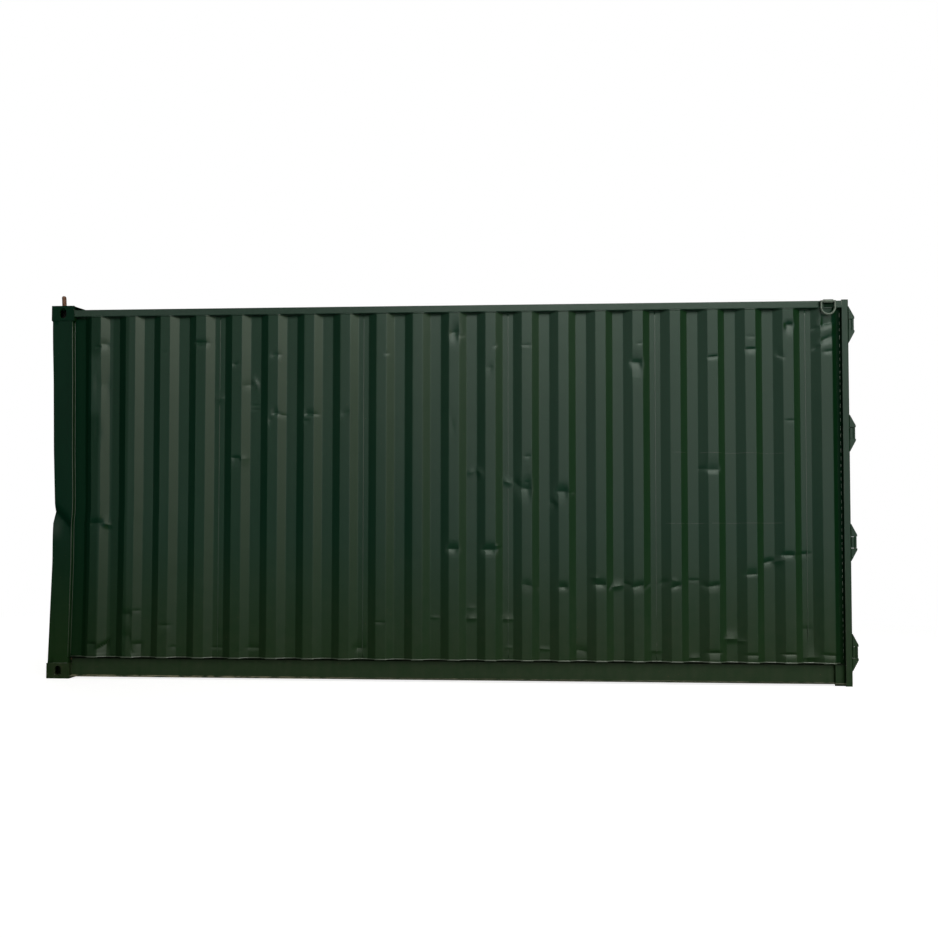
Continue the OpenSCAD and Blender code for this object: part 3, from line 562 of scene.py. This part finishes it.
STITCH_SEED = 7
STITCH_LENGTHS = (0.018, 0.034)   # shortest and longest stitch weld on the door jamb
STITCH_GAPS = (0.020, 0.034)      # least and greatest gap between two of them


class CONTAINER_OT_welds(bpy.types.Operator):
    """Lays the weld beads along the wall, its seams, the posts and the castings; the pale beads at
    the wall's foot, on the posts and on the jambs are painted highlights
    """
    bl_idname = "container.welds"
    bl_label = "Weld beads"
    bl_options = {"REGISTER", "UNDO"}

    def execute(self, context):
        wall, steel = settings(context)[:2]
        bead = steel.bead
        rows = [WALL_LOW.z + (WALL_HIGH.z - WALL_LOW.z) * i / 60 for i in range(61)]
        self.wall_edges(wall, steel)

        runs = []
        for place in seam_places(wall):
            line = [(WALL_LOW.x + place, WALL_LOW.y + wall.depth, z) for z in rows]
            runs += both_sides(line, lambda x, z: drift_at(x - FRONT_X))
        made = swept("sheet_seam_welds", runs, bead_outline(bead, 0.2, 0.9))
        settle(made, "root", "weld_paint")

        # Painted highlight: the stitch welds are pale
        made = swept("jamb_stitch_welds", self.stitches(), bead_outline(bead, 0.55, 0.5))
        settle(made, "root", "bright_weld")

        inner_x, inner_y = POST_HIGH.x + 0.001, WALL_LOW.y + wall.depth - 0.001
        # Painted highlight: pale beads at the post's joint, along its outer corner and at its foot
        edge_x, edge_y = POST_HIGH.x - 0.0035, POST_LOW.y + 0.0005
        foot = [(POST_LOW.x + 0.012 + i * 0.036, edge_y, POST_LOW.z + 0.001) for i in range(5)]
        lines = [both_sides([(inner_x, inner_y, z) for z in rows], partial(bow_at, steel)),
                 both_sides([(edge_x, edge_y, z) for z in rows if z < POST_HIGH.z],
                            partial(bow_at, steel)),
                 both_sides(foot, lambda x, z: 0.0)]
        runs = [pair[side] for side in (0, 1) for pair in lines]
        made = swept("post_welds", runs, bead_outline(bead, 0.6, 0.8))
        settle(made, "root", "post_weld")
        return {"FINISHED"}

    def wall_edges(self, wall, steel):
        """The beads that follow the waves at the foot and the head of the side walls, the foot
        bead in a pale finish that is a painted highlight.
        """
        sunk = steel.bead * 0.3
        for place, z, size, finish in (("foot", WALL_LOW.z + sunk, 1.7, "foot_weld"),
                                       ("head", WALL_HIGH.z - sunk, 1.0, "weld_paint")):
            line = [(WALL_LOW.x + along, WALL_LOW.y + depth - steel.bead * 0.2, z)
                    for along, depth in wall_profile(wall)]
            runs = both_sides(line, lambda x, z: bow_at(steel, x, z) + drift_at(x - FRONT_X))
            made = swept(f"wall_{place}_welds", runs, bead_outline(steel.bead * size))
            settle(made, "root", finish)

    def stitches(self):
        """Short uneven welds up both door jambs."""
        runs = []
        dots = random.Random(STITCH_SEED)
        jamb_x, jamb_y = RAIL_HIGH.x - 0.005, WALL_LOW.y + 0.026 - 0.0005
        for sign in (1, -1):
            place = WALL_LOW.z + 0.03
            while place < WALL_HIGH.z - 0.05:
                length = dots.uniform(*STITCH_LENGTHS)
                run = [(jamb_x, sign * jamb_y, place + length * k / 3) for k in range(4)]
                runs.append((run, (0.0, -sign, 0.0)))
                place += length + dots.uniform(*STITCH_GAPS)
        return runs


BRACKET_PLATE = 0.006             # thickness of the rod brackets' feet
BOLT_INSET, BOLT_HEAD = 0.013, 0.007
SCREW_COLUMNS, SCREW_LINES = 34, 9
SCREW_INSET_X, SCREW_INSET_Y = 0.06, 0.05
SCREW_HEAD, SCREW_SUNK = 0.0012, 0.0006


class CONTAINER_OT_fasteners(bpy.types.Operator):
    """Sets the bolts of the rod brackets and the screws of the floor"""
    bl_idname = "container.fasteners"
    bl_label = "Small fasteners"
    bl_options = {"REGISTER", "UNDO"}

    def execute(self, context):
        steel = settings(context)[1]
        for side in ("near", "far"):
            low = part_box(f"rod_brackets_{side}")[0]
            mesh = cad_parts[f"rod_brackets_{side}"].data
            feet = [v.co for v in mesh.vertices if v.co.x < low.x + 0.0005]
            levels = sorted({round(place.z, 4) for place in feet})
            edges = sorted({round(place.y, 4) for place in feet})
            points, faces = [], []
            for bottom, top in zip(levels[::2], levels[1::2]):
                for left, right in zip(edges[::2], edges[1::2]):
                    for shift in (-1, 1):
                        y = (left + right) / 2 + shift * ((right - left) / 2 - BOLT_INSET)
                        place = (low.x + BRACKET_PLATE, y, (bottom + top) / 2)
                        prism(points, faces, place, (1, 0, 0), steel.bolt, BOLT_HEAD)
            made = add_mesh(f"bracket_bolts_{side}", points, faces, smooth=False)
            settle(made, f"door_{side}", "lock_gear")

        low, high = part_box("floor_boards")
        points, faces = [], []
        across, along = high.y - low.y - 2 * SCREW_INSET_Y, high.x - low.x - 2 * SCREW_INSET_X
        for i in range(SCREW_COLUMNS):
            x = low.x + SCREW_INSET_X + along * i / (SCREW_COLUMNS - 1)
            for k in range(SCREW_LINES):
                y = low.y + SCREW_INSET_Y + across * k / (SCREW_LINES - 1)
                prism(points, faces, (x, y, high.z - SCREW_SUNK), (0, 0, 1), steel.screw,
                      SCREW_HEAD, sides=8, crown=0.6)
        made = add_mesh("floor_screws", points, faces, smooth=False)
        settle(made, "root", "lock_gear")
        return {"FINISHED"}


# Finishes

class Value:
    """A number in a node tree that Python operators work on, one Math node for each."""

    def __init__(self, nodes, socket):
        self.nodes, self.socket = nodes, socket

    def math(self, operation, *others):
        return self.nodes.math(operation, self, *others)

    def __add__(self, other):
        return self.math("ADD", other)

    def __sub__(self, other):
        return self.math("SUBTRACT", other)

    def __mul__(self, other):
        return self.math("MULTIPLY", other)

    def __rsub__(self, other):
        return self.nodes.math("SUBTRACT", other, self)

    __radd__ = __add__
    __rmul__ = __mul__

    def __neg__(self):
        return self * -1.0

    def between(self, low, high):
        """Rises smoothly from nought at low to one at high."""
        made = self.nodes.node("ShaderNodeMapRange",
                               {"interpolation_type": "SMOOTHSTEP", "clamp": True},
                               {"Value": self, "From Min": low, "From Max": high})
        return Value(self.nodes, made.outputs["Result"])

    def limited(self, high=1.0):
        """The value kept between nought and a highest one."""
        return self.math("MINIMUM", high).math("MAXIMUM", 0.0)

    def near(self, place, width):
        """One at a place and nought further away than a width."""
        return 1.0 - (self - place).math("ABSOLUTE").between(0.0, width)

    def band(self, low, high, soft):
        """One between two levels, with soft edges."""
        return self.over(low, soft) - self.over(high, soft)

    def over(self, level, soft):
        """One where the value is above a level, with a soft edge."""
        return self.between(level - soft, level + soft)


class Nodes:
    """The node tree of a material or a world."""

    def __init__(self, owner):
        owner.use_nodes = True
        self.tree = owner.node_tree
        self.tree.nodes.clear()

    def node(self, kind, set_first=None, inputs=None):
        """A node, its settings first and then the values or links of its sockets."""
        made = self.tree.nodes.new(kind)
        for key, value in (set_first or {}).items():
            setattr(made, key, value)
        for key, value in (inputs or {}).items():
            self.feed(made.inputs[key], value)
        return made

    def feed(self, socket, value):
        """Links or sets one socket."""
        value = value.socket if isinstance(value, Value) else value
        if isinstance(value, bpy.types.NodeSocket):
            self.tree.links.new(value, socket)
        elif hasattr(value, "__len__") and socket.type == "RGBA":
            socket.default_value = (*tuple(value)[:3], 1.0)
        else:
            socket.default_value = value

    def math(self, operation, *values):
        made = self.node("ShaderNodeMath", {"operation": operation}, dict(enumerate(values)))
        return Value(self, made.outputs[0])

    def rays(self, kind):
        """One for rays of a kind, such as Camera or Glossy."""
        return Value(self, self.node("ShaderNodeLightPath").outputs[f"Is {kind} Ray"])

    def seen(self, mirrored):
        """One for rays of the camera and through glass, and a share for mirrored ones."""
        straight = self.rays("Camera").math("MAXIMUM", self.rays("Transmission"))
        return straight.math("MAXIMUM", self.rays("Glossy") * mirrored)


class Finish(Nodes):
    """The node tree of one material, with the place and the facing of each point."""

    def __init__(self, name):
        self.material = bpy.data.materials.new(name)
        super().__init__(self.material)
        self.place = self.node("ShaderNodeTexCoord").outputs["Object"]
        self.x, self.y, self.z = self.split(self.place)
        self.facing = self.node("ShaderNodeNewGeometry").outputs["Normal"]
        self.rearward, _, self.up = self.split(self.facing)

    def split(self, vector):
        """The three numbers of a vector."""
        parts = self.node("ShaderNodeSeparateXYZ", {}, {"Vector": vector}).outputs
        return [Value(self, parts[axis]) for axis in "XYZ"]

    def stretched(self, x, y, z):
        """Object coordinates multiplied along each axis."""
        return self.node("ShaderNodeVectorMath", {"operation": "MULTIPLY"},
                         {0: self.place, 1: (x, y, z)}).outputs[0]

    def noise(self, scale, detail=3.0, rough=0.55, vector=None, twist=0.0):
        """Cloudy noise from nought to one."""
        made = self.node("ShaderNodeTexNoise", {},
                         {"Vector": vector or self.place, "Scale": scale, "Detail": detail,
                          "Roughness": rough, "Distortion": twist})
        return Value(self, made.outputs["Fac"])

    def spots(self, scale):
        """Distance to scattered points."""
        made = self.node("ShaderNodeTexVoronoi", {"feature": "F1"},
                         {"Vector": self.place, "Scale": scale})
        return Value(self, made.outputs["Distance"])

    def blend(self, factor, first, second):
        """A colour between two colours."""
        made = self.node("ShaderNodeMix", {"data_type": "RGBA", "clamp_factor": True},
                         {0: factor, 6: first, 7: second})
        return made.outputs[2]

    def edges(self, reach):
        """One along worn edges: where a rounded normal leaves the face's own."""
        rounded = self.node("ShaderNodeBevel", {"samples": 4}, {"Radius": reach})
        turned = self.node("ShaderNodeVectorMath", {"operation": "DOT_PRODUCT"},
                           {0: rounded.outputs[0], 1: self.facing})
        return (1.0 - Value(self, turned.outputs["Value"])).between(0.02, 0.16)

    def finished(self, base, roughness, metallic, height, distance, specular, rounding=0.0,
                 matt=None):
        """Joins everything at the surface shader, without any gloss where it is matt."""
        shader = self.node("ShaderNodeBsdfPrincipled", {},
                           {"Base Color": base, "Roughness": roughness, "Metallic": metallic,
                            "Specular IOR Level": specular})
        bump = self.node("ShaderNodeBump", {}, {"Strength": 1.0, "Distance": distance,
                                                "Height": height})
        if rounding:
            round_edges = self.node("ShaderNodeBevel", {"samples": 4}, {"Radius": rounding})
            self.feed(bump.inputs["Normal"], round_edges.outputs[0])
        self.feed(shader.inputs["Normal"], bump.outputs[0])
        if matt is not None:
            dull = self.node("ShaderNodeBsdfDiffuse", {}, {"Color": base})
            shader = self.node("ShaderNodeMixShader", {}, {0: matt, 1: shader.outputs[0],
                                                           2: dull.outputs[0]})
        self.node("ShaderNodeOutputMaterial", {}, {"Surface": shader.outputs[0]})


# Painted shade where no light reaches well, a painted shadow under the wall, and an olive green
# towards the bottom, which is also painted shade on faces turned to the doors
SHADED, JAMB_SHADED = (0.0008, 0.0120, 0.0040), (0.0006, 0.0085, 0.0022)
RING_SHADED, UNDER_WALL_SHADOW = (0.0012, 0.0110, 0.0040), (0.0005, 0.0015, 0.0008)
OLIVE_LOW_AND_SHADE, RUBBED = (0.0062, 0.0275, 0.0040), (0.26, 0.25, 0.16)

# Long scratches in the near wall: height, slope, and where they start and stop behind the front
SCRATCHES = ((1.735, -0.012, 4.75, 5.60), (1.20, 0.006, 4.7, 5.6))


# What only one piece has: each gives the new base colour, mostly with painted shade, and where the
# paint is matt

def wall_marks(f, base, grain, steel):
    """Scratches, and painted shade with less gloss on the waves beside the front post and the door
    jamb.
    """
    lines = 0.0
    for z, slope, start, stop in SCRATCHES:
        away = (f.z - z - (f.behind - start) * slope).math("ABSOLUTE")
        inside = f.behind.between(start, start + 0.05)
        inside = inside * (1.0 - f.behind.between(stop - 0.05, stop))
        lines += (1.0 - away.between(0.0008, 0.0022)) * inside * grain.over(0.45, 0.08)
    base = f.blend(lines * 0.3, base, steel)
    flare = f.z.band(2.05, 2.50, 0.05)
    matt = f.near_side * (f.behind.between(5.930, 5.945) * 0.95
                          + (1.0 - f.behind.between(0.285, 0.305)) * 0.9
                          + f.behind.band(0.295, 0.385, 0.01) * (0.55 - flare * 0.55)
                          + f.behind.band(0.475, 0.615, 0.01) * 0.5)
    # Painted shade: where the waves are matt the paint is also darkened
    return f.blend(matt * 0.6, base, SHADED), matt


def jamb_marks(f, base, grain, steel):
    """Painted shade in the recess of the door jamb beside the wall."""
    recess = (1.0 - f.y.math("ABSOLUTE").between(1.196, 1.204)) * f.z.between(0.164, 0.170)
    return f.blend(recess * 0.7, base, JAMB_SHADED), recess * 0.9


def post_marks(f, base, grain, steel):
    """Gloss only where the post is dented."""
    dent = f.behind.near(0.050, 0.075) * f.z.near(1.165, 0.13) * f.near_side
    return base, 0.75 - dent * 0.75


def rail_marks(f, base, grain, steel):
    """Painted shadow as a dark line under the wall, and the rubbed lower edge."""
    # Painted shadow: a dark band along the top of the rail, under the wall
    top = f.z.between(RAIL_HIGH.z - 0.017, RAIL_HIGH.z - 0.012)
    base = f.blend(top * 0.9, base, UNDER_WALL_SHADOW)
    rubbed = f.z.near(RAIL_LOW.z + 0.003, 0.010) * (1.0 - f.behind.between(1.2, 2.6) * 0.8)
    rubbed = rubbed * grain.between(0.35, 0.55) * f.near_side
    return f.blend(rubbed, base, RUBBED), top * 0.9


def ring_marks(f, base, grain, steel):
    """Painted shade: the dark patch inside the lifting ring."""
    patch = f.behind.band(5.875, 5.943, 0.006) * f.near_side * 0.85
    return f.blend(patch, base, RING_SHADED), patch


def painted(colours, name, paint, faded, fade, dirt, rust, wear, rough, rounding, specular,
            marks=None):
    """Weathered paint on steel: bleached cloud, run marks, an olive green low down that is also
    painted shade on faces turned to the doors, mud low down, chips and rust.
    """
    f = Finish(name)
    cloud = f.noise(0.9, 4.0, 0.6)
    runs = f.noise(1.0, 5.0, 0.65, f.stretched(22.0, 22.0, 0.7))
    fine = f.noise(160.0, 3.0, 0.6)
    grain = f.noise(14.0, 5.0, 0.6)
    bleached = (cloud - 0.45) * 1.3 + (runs - 0.5) * 0.8 + (grain - 0.5) * 0.3
    base = f.blend((bleached + fade).limited(), paint, faded)
    low = 1.0 - f.z.between(0.05, 1.25)
    # Painted shade: faces turned towards the doors take the olive green, as does the paint towards
    # the bottom
    turned = f.rearward.between(0.2, 0.45) * 0.6
    base = f.blend((low * 0.8).math("MAXIMUM", turned), base, OLIVE_LOW_AND_SHADE)
    settled = f.up.between(0.35, 0.95)
    mud = (low * 0.55 + settled * 0.5) * (runs * 0.8 + grain * 0.9 - 0.35)
    mud = (mud * dirt).limited(0.85)
    base = f.blend(mud, base, colours.dirt)
    edge = f.edges(0.006)
    chips = (edge * 0.62 + grain * 0.45 + (fine - 0.5) * 0.25).over(1.02 - 0.25 * wear, 0.05)
    base = f.blend(chips * 0.85, base, colours.steel)
    specks = (1.0 - f.spots(34.0)).over(0.93, 0.03) * grain.over(0.60, 0.05)
    rusty = (edge * 0.55 + grain * 0.55 + (fine - 0.5) * 0.2).over(1.10 - 0.3 * rust, 0.05)
    rusty = (rusty + specks * min(1.0, rust * 2.0)).math("MINIMUM", 1.0)
    base = f.blend(rusty, base, f.blend(fine, colours.rust, colours.brown))
    matt = None
    if marks:
        f.behind = f.x - FRONT_X
        f.near_side = (-f.y).between(1.0, 1.1)
        base, matt = marks(f, base, grain, colours.steel)
    rough = rough + (cloud - 0.5) * 0.08 + mud * 0.25 + rusty * 0.35 + (grain - 0.5) * 0.06
    height = (f.noise(4.5, 2.0, 0.5) * 0.9 + grain * 0.12 + fine * 0.02
              + rusty * 0.05 - chips * 0.06)
    f.finished(base, rough.math("MINIMUM", 0.95), chips * 0.3, height, 0.0022, specular,
               rounding, matt)


def make_finishes(colours):
    """Every finish of the container."""
    green, pale = colours.paint, colours.faded
    deep = tuple(c * 0.7 for c in green)
    # Name, two colours, then shares of bleaching, dirt, rust and wear, the roughness, the
    # rounding of edges, the specular level and what only this piece has
    for recipe in (
            ("green_paint", green, pale, 0.4, 0.3, 0.2, 0.5, 0.34, 0.002, 0.17),
            ("wall_paint", green, pale, 0.4, 0.3, 0.2, 0.5, 0.34, 0.002, 0.17, wall_marks),
            ("jamb_paint", green, pale, 0.4, 0.3, 0.3, 0.5, 0.34, 0.002, 0.17, jamb_marks),
            ("rail_paint", green, pale, 0.4, 0.45, 0.45, 0.7, 0.44, 0.002, 0.14, rail_marks),
            # The top rail takes paler greens, partly a painted sheen
            ("top_rail_paint", pale, (0.020, 0.045, 0.031), 0.6, 0.15, 0.25, 0.6, 0.34, 0.002,
             0.15, ring_marks),
            ("casting_paint", deep, green, 0.3, 0.7, 0.4, 0.45, 0.44, 0.004, 0.03),
            ("post_paint", deep, green, 0.3, 0.25, 0.3, 0.45, 0.34, 0.002, 0.17, post_marks),
            ("weld_paint", green, pale, 0.7, 0.1, 0.1, 0.1, 0.36, 0.0, 0.4),
            # Pale weld finishes, painted highlights
            ("post_weld", (0.045, 0.066, 0.047), (0.090, 0.112, 0.088), 0.45, 0.15, 0.1, 0.1,
             0.34, 0.0, 0.4),
            ("foot_weld", (0.140, 0.180, 0.140), (0.250, 0.290, 0.240), 0.45, 0.15, 0.1, 0.1,
             0.34, 0.0, 0.5),
            ("bright_weld", (0.12, 0.15, 0.12), (0.26, 0.29, 0.25), 0.5, 0.0, 0.0, 0.1, 0.4,
             0.0, 0.4),
            ("lock_gear", colours.gear, colours.dirt, 0.25, 0.35, 0.5, 0.8, 0.46, 0.002, 0.17),
            ("underside_coat", colours.under, colours.dirt, 0.1, 0.5, 0.6, 0.7, 0.7, 0.0, 0.17),
            ("ring_steel", (0.095, 0.130, 0.100), (0.190, 0.230, 0.190), 0.4, 0.2, 0.45, 0.9,
             0.42, 0.0, 0.17)):
        painted(colours, *recipe)

    f = Finish("rusty_iron")
    cloud = f.noise(30.0, 5.0, 0.65)
    fine = f.noise(260.0, 4.0, 0.7)
    base = f.blend(cloud.between(0.35, 0.7), colours.rust, colours.brown)
    base = f.blend(fine.over(0.62, 0.06) * 0.6, base, (0.30, 0.20, 0.14))
    base = f.blend(f.z.between(STUB_SHADE_Z, STUB_SHADE_Z + 0.02), (0.006, 0.005, 0.004), base)
    f.finished(base, 0.78 + (fine - 0.5) * 0.2, 0.0, cloud * 0.6 + fine * 0.4, 0.0012, 0.3)

    f = Finish("seal_rubber")
    fine = f.noise(420.0, 2.0, 0.5)
    dusty = f.noise(6.0, 4.0, 0.6).between(0.45, 0.75)
    base = f.blend(dusty * 0.35, colours.rubber, colours.dirt)
    f.finished(base, 0.62 + dusty * 0.2, 0.0, fine, 0.0003, 0.4)

    f = Finish("floor_plywood")
    grain = f.noise(3.0, 6.0, 0.65, f.stretched(2.0, 40.0, 40.0), 0.6)
    worn = f.noise(1.3, 5.0, 0.6)
    wide = (f.x * (1 / 1.20)).math("FRACT")
    joint = 1.0 - wide.between(0.0, 0.004) + wide.between(0.996, 1.0)
    long_joint = (f.y * (1 / 0.60)).math("FRACT")
    joint = joint + 1.0 - long_joint.between(0.0, 0.006) + long_joint.between(0.994, 1.0)
    joint = joint.math("MINIMUM", 1.0)
    dark = tuple(c * 0.35 for c in colours.wood)
    base = f.blend(grain.between(0.3, 0.7), dark, colours.wood)
    base = f.blend(worn.between(0.4, 0.75) * 0.6, base, colours.dirt)
    tracks = f.y.near(-0.62, 0.16) + f.y.near(0.62, 0.16)
    base = f.blend(tracks * grain * 0.5, base, (0.03, 0.026, 0.022))
    base = f.blend(joint, base, (0.012, 0.010, 0.008))
    f.finished(base, 0.62 + worn * 0.2, 0.0, grain * 0.4 - joint * 1.2, 0.0012, 0.3)


# How the names of the CAD nodes begin that take each finish; the others are plain green
FINISH_OF = {
    "casting_paint": ("casting_",), "post_paint": ("front_post",),
    "jamb_paint": ("rear_post",), "rusty_iron": ("rusty_stub",),
    "ring_steel": ("lifting_ring", "ring_saddle"), "wall_paint": ("side_wall",),
    "rail_paint": ("bottom_rail", "rear_sill", "front_sill"), "top_rail_paint": ("top_rail",),
    "underside_coat": ("cross_members",), "floor_plywood": ("floor_boards",),
    "seal_rubber": ("door_gasket",), "lock_gear": ("lock_rods", "rod_brackets", "door_handles"),
}


class CONTAINER_OT_finishes(bpy.types.Operator):
    """Makes the finishes and gives each CAD node its own"""
    bl_idname = "container.finishes"
    bl_label = "Finishes"
    bl_options = {"REGISTER", "UNDO"}

    def execute(self, context):
        for plain in list(bpy.data.materials):
            bpy.data.materials.remove(plain)
        make_finishes(settings(context)[2])
        for name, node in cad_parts.items():
            finish = next((finish for finish, starts in FINISH_OF.items()
                           if name.startswith(starts)), "green_paint")
            node.data.materials.clear()
            node.data.materials.append(bpy.data.materials[finish])
        return {"FINISHED"}


# Stage: the camera that matches the photograph, in metres, degrees and millimetres of film
CAMERA_PLACE = (-0.1449, -6.9444, 0.8491)
CAMERA_TURN, CAMERA_RISE, CAMERA_ROLL = (math.radians(a) for a in (2.639, 1.544, 0.205))
CAMERA_LENS, CAMERA_SHIFT = 29.03, 0.0853
MIDDLE = (0.0, 0.0, 1.35)        # what the lamps point at
WARM_WHITE = (1.0, 0.985, 0.94)


def softbox(name, stage, turn, rise, width, height, power, only_gloss=False):
    """A wide rectangular lamp that the camera doesn't see, pointed at the middle."""
    data = bpy.data.lights.new(name, "AREA")
    data.shape = "RECTANGLE"
    data.size, data.size_y, data.energy = width, height, power
    data.color = WARM_WHITE
    made = bpy.data.objects.new(name, data)
    bpy.context.scene.collection.objects.link(made)
    away = Vector((math.sin(turn) * math.cos(rise), -math.cos(turn) * math.cos(rise),
                   math.sin(rise)))
    made.location = Vector(MIDDLE) + away * stage.distance
    made.rotation_mode = "QUATERNION"
    made.rotation_quaternion = (Vector(MIDDLE) - made.location).to_track_quat("-Z", "Y")
    made.visible_camera = False
    made.visible_diffuse = not only_gloss


class CONTAINER_OT_stage(bpy.types.Operator):
    """Sets the camera, the soft lamps, the pale floor and the white surroundings"""
    bl_idname = "container.stage"
    bl_label = "Stage"
    bl_options = {"REGISTER", "UNDO"}

    def execute(self, context):
        stage = settings(context)[3]
        scene = context.scene
        scene.view_settings.view_transform = "Standard"

        data = bpy.data.cameras.new("view")
        data.sensor_width, data.lens = 36.0, CAMERA_LENS
        data.shift_x = data.shift_y = CAMERA_SHIFT
        data.clip_start, data.clip_end = 0.1, 200.0
        camera = bpy.data.objects.new("view", data)
        scene.collection.objects.link(camera)
        camera.matrix_world = (Matrix.Translation(CAMERA_PLACE)
                               @ Matrix.Rotation(CAMERA_TURN, 4, "Z")
                               @ Matrix.Rotation(math.pi / 2 + CAMERA_RISE, 4, "X")
                               @ Matrix.Rotation(CAMERA_ROLL, 4, "Z"))
        scene.camera = camera

        tall = stage.key_height
        softbox("front_lamp", stage, stage.key_turn, stage.key_rise, stage.key_width, tall,
                stage.key_power)
        softbox("fill_lamp", stage, math.radians(-10), stage.key_rise, 3.8, tall,
                stage.fill_power)
        softbox("sky_card", stage, math.radians(26), math.radians(40), 10.0, 5.0,
                stage.sky_power, only_gloss=True)
        softbox("side_card", stage, math.radians(-36), stage.key_rise, 4.4, tall,
                stage.side_power, only_gloss=True)
        softbox("back_lamp", stage, stage.key_turn + math.pi, stage.key_rise, stage.key_width,
                tall, stage.key_power * stage.back_share)
        self.surround(scene, stage)
        self.floor(stage)
        return {"FINISHED"}

    def surround(self, scene, stage):
        """White to the camera, dim to the object."""
        scene.world = bpy.data.worlds.new("studio")
        w = Nodes(scene.world)
        dim = w.rays("Diffuse") * stage.ambient
        light = w.node("ShaderNodeBackground", {},
                       {"Color": (1.0, 1.0, 1.0),
                        "Strength": w.seen(stage.mirrored).math("MAXIMUM", dim)})
        w.node("ShaderNodeOutputWorld", {}, {"Surface": light.outputs[0]})

    def floor(self, stage):
        """A pale floor that keeps the shadow and fades into the white."""
        half = stage.floor_size / 2
        points = [(-half, -half, 0.0), (half, -half, 0.0), (half, half, 0.0), (-half, half, 0.0)]
        made = add_mesh("studio_floor", points, [(0, 1, 2, 3)], smooth=False)
        f = Finish("pale_floor")
        seen = f.seen(stage.mirrored)
        front = (-f.y).between(3.0, 6.5)
        shade = f.rays("Glossy") * (0.75 - front * 0.45)
        tone = f.blend(shade, (stage.floor_tone,) * 3, (0.0, 0.0, 0.0))
        matt = f.node("ShaderNodeBsdfDiffuse", {}, {"Color": tone})
        glow = f.node("ShaderNodeEmission", {}, {"Strength": seen * stage.floor_glow})
        near = f.node("ShaderNodeAddShader", {}, {0: matt.outputs[0], 1: glow.outputs[0]})
        white = f.node("ShaderNodeEmission", {}, {"Strength": seen})
        away = (f.x * f.x * 0.30 + f.y * f.y).math("SQRT")
        far = away.between(2.6, 7.5)
        mix = f.node("ShaderNodeMixShader", {}, {0: far, 1: near.outputs[0], 2: white.outputs[0]})
        f.node("ShaderNodeOutputMaterial", {}, {"Surface": mix.outputs[0]})
        made.data.materials.append(f.material)


class CONTAINER_PT_panel(bpy.types.Panel):
    """Values and steps of the container"""
    bl_idname = "CONTAINER_PT_panel"
    bl_label = "Container"
    bl_space_type = "VIEW_3D"
    bl_region_type = "UI"
    bl_category = "Container"

    def draw(self, context):
        layout = self.layout
        for group in settings(context):
            box = layout.box()
            for key in group.__annotations__:
                box.prop(group, key)
        for operator in OPERATORS:
            layout.operator(operator.bl_idname)


GROUPS = (("container_wall", ContainerWall), ("container_steel", ContainerSteel),
          ("container_colours", ContainerColours), ("container_stage", ContainerStage))
OPERATORS = (CONTAINER_OT_finishes, CONTAINER_OT_stage, CONTAINER_OT_near_wall,
             CONTAINER_OT_front_post, CONTAINER_OT_welds, CONTAINER_OT_fasteners)


def register():
    for name, group in GROUPS:
        bpy.utils.register_class(group)
        setattr(bpy.types.Scene, name, PointerProperty(type=group))
    for item in (*OPERATORS, CONTAINER_PT_panel):
        bpy.utils.register_class(item)


def unregister():
    for item in reversed((*OPERATORS, CONTAINER_PT_panel)):
        bpy.utils.unregister_class(item)
    for name, group in reversed(GROUPS):
        delattr(bpy.types.Scene, name)
        bpy.utils.unregister_class(group)


def main():
    """Registers the add-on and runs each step."""
    register()
    bpy.ops.container.finishes()
    bpy.ops.container.stage()
    bpy.ops.container.near_wall()
    bpy.ops.container.front_post()
    bpy.ops.container.welds()
    bpy.ops.container.fasteners()


if __name__ == "__main__":
    main()
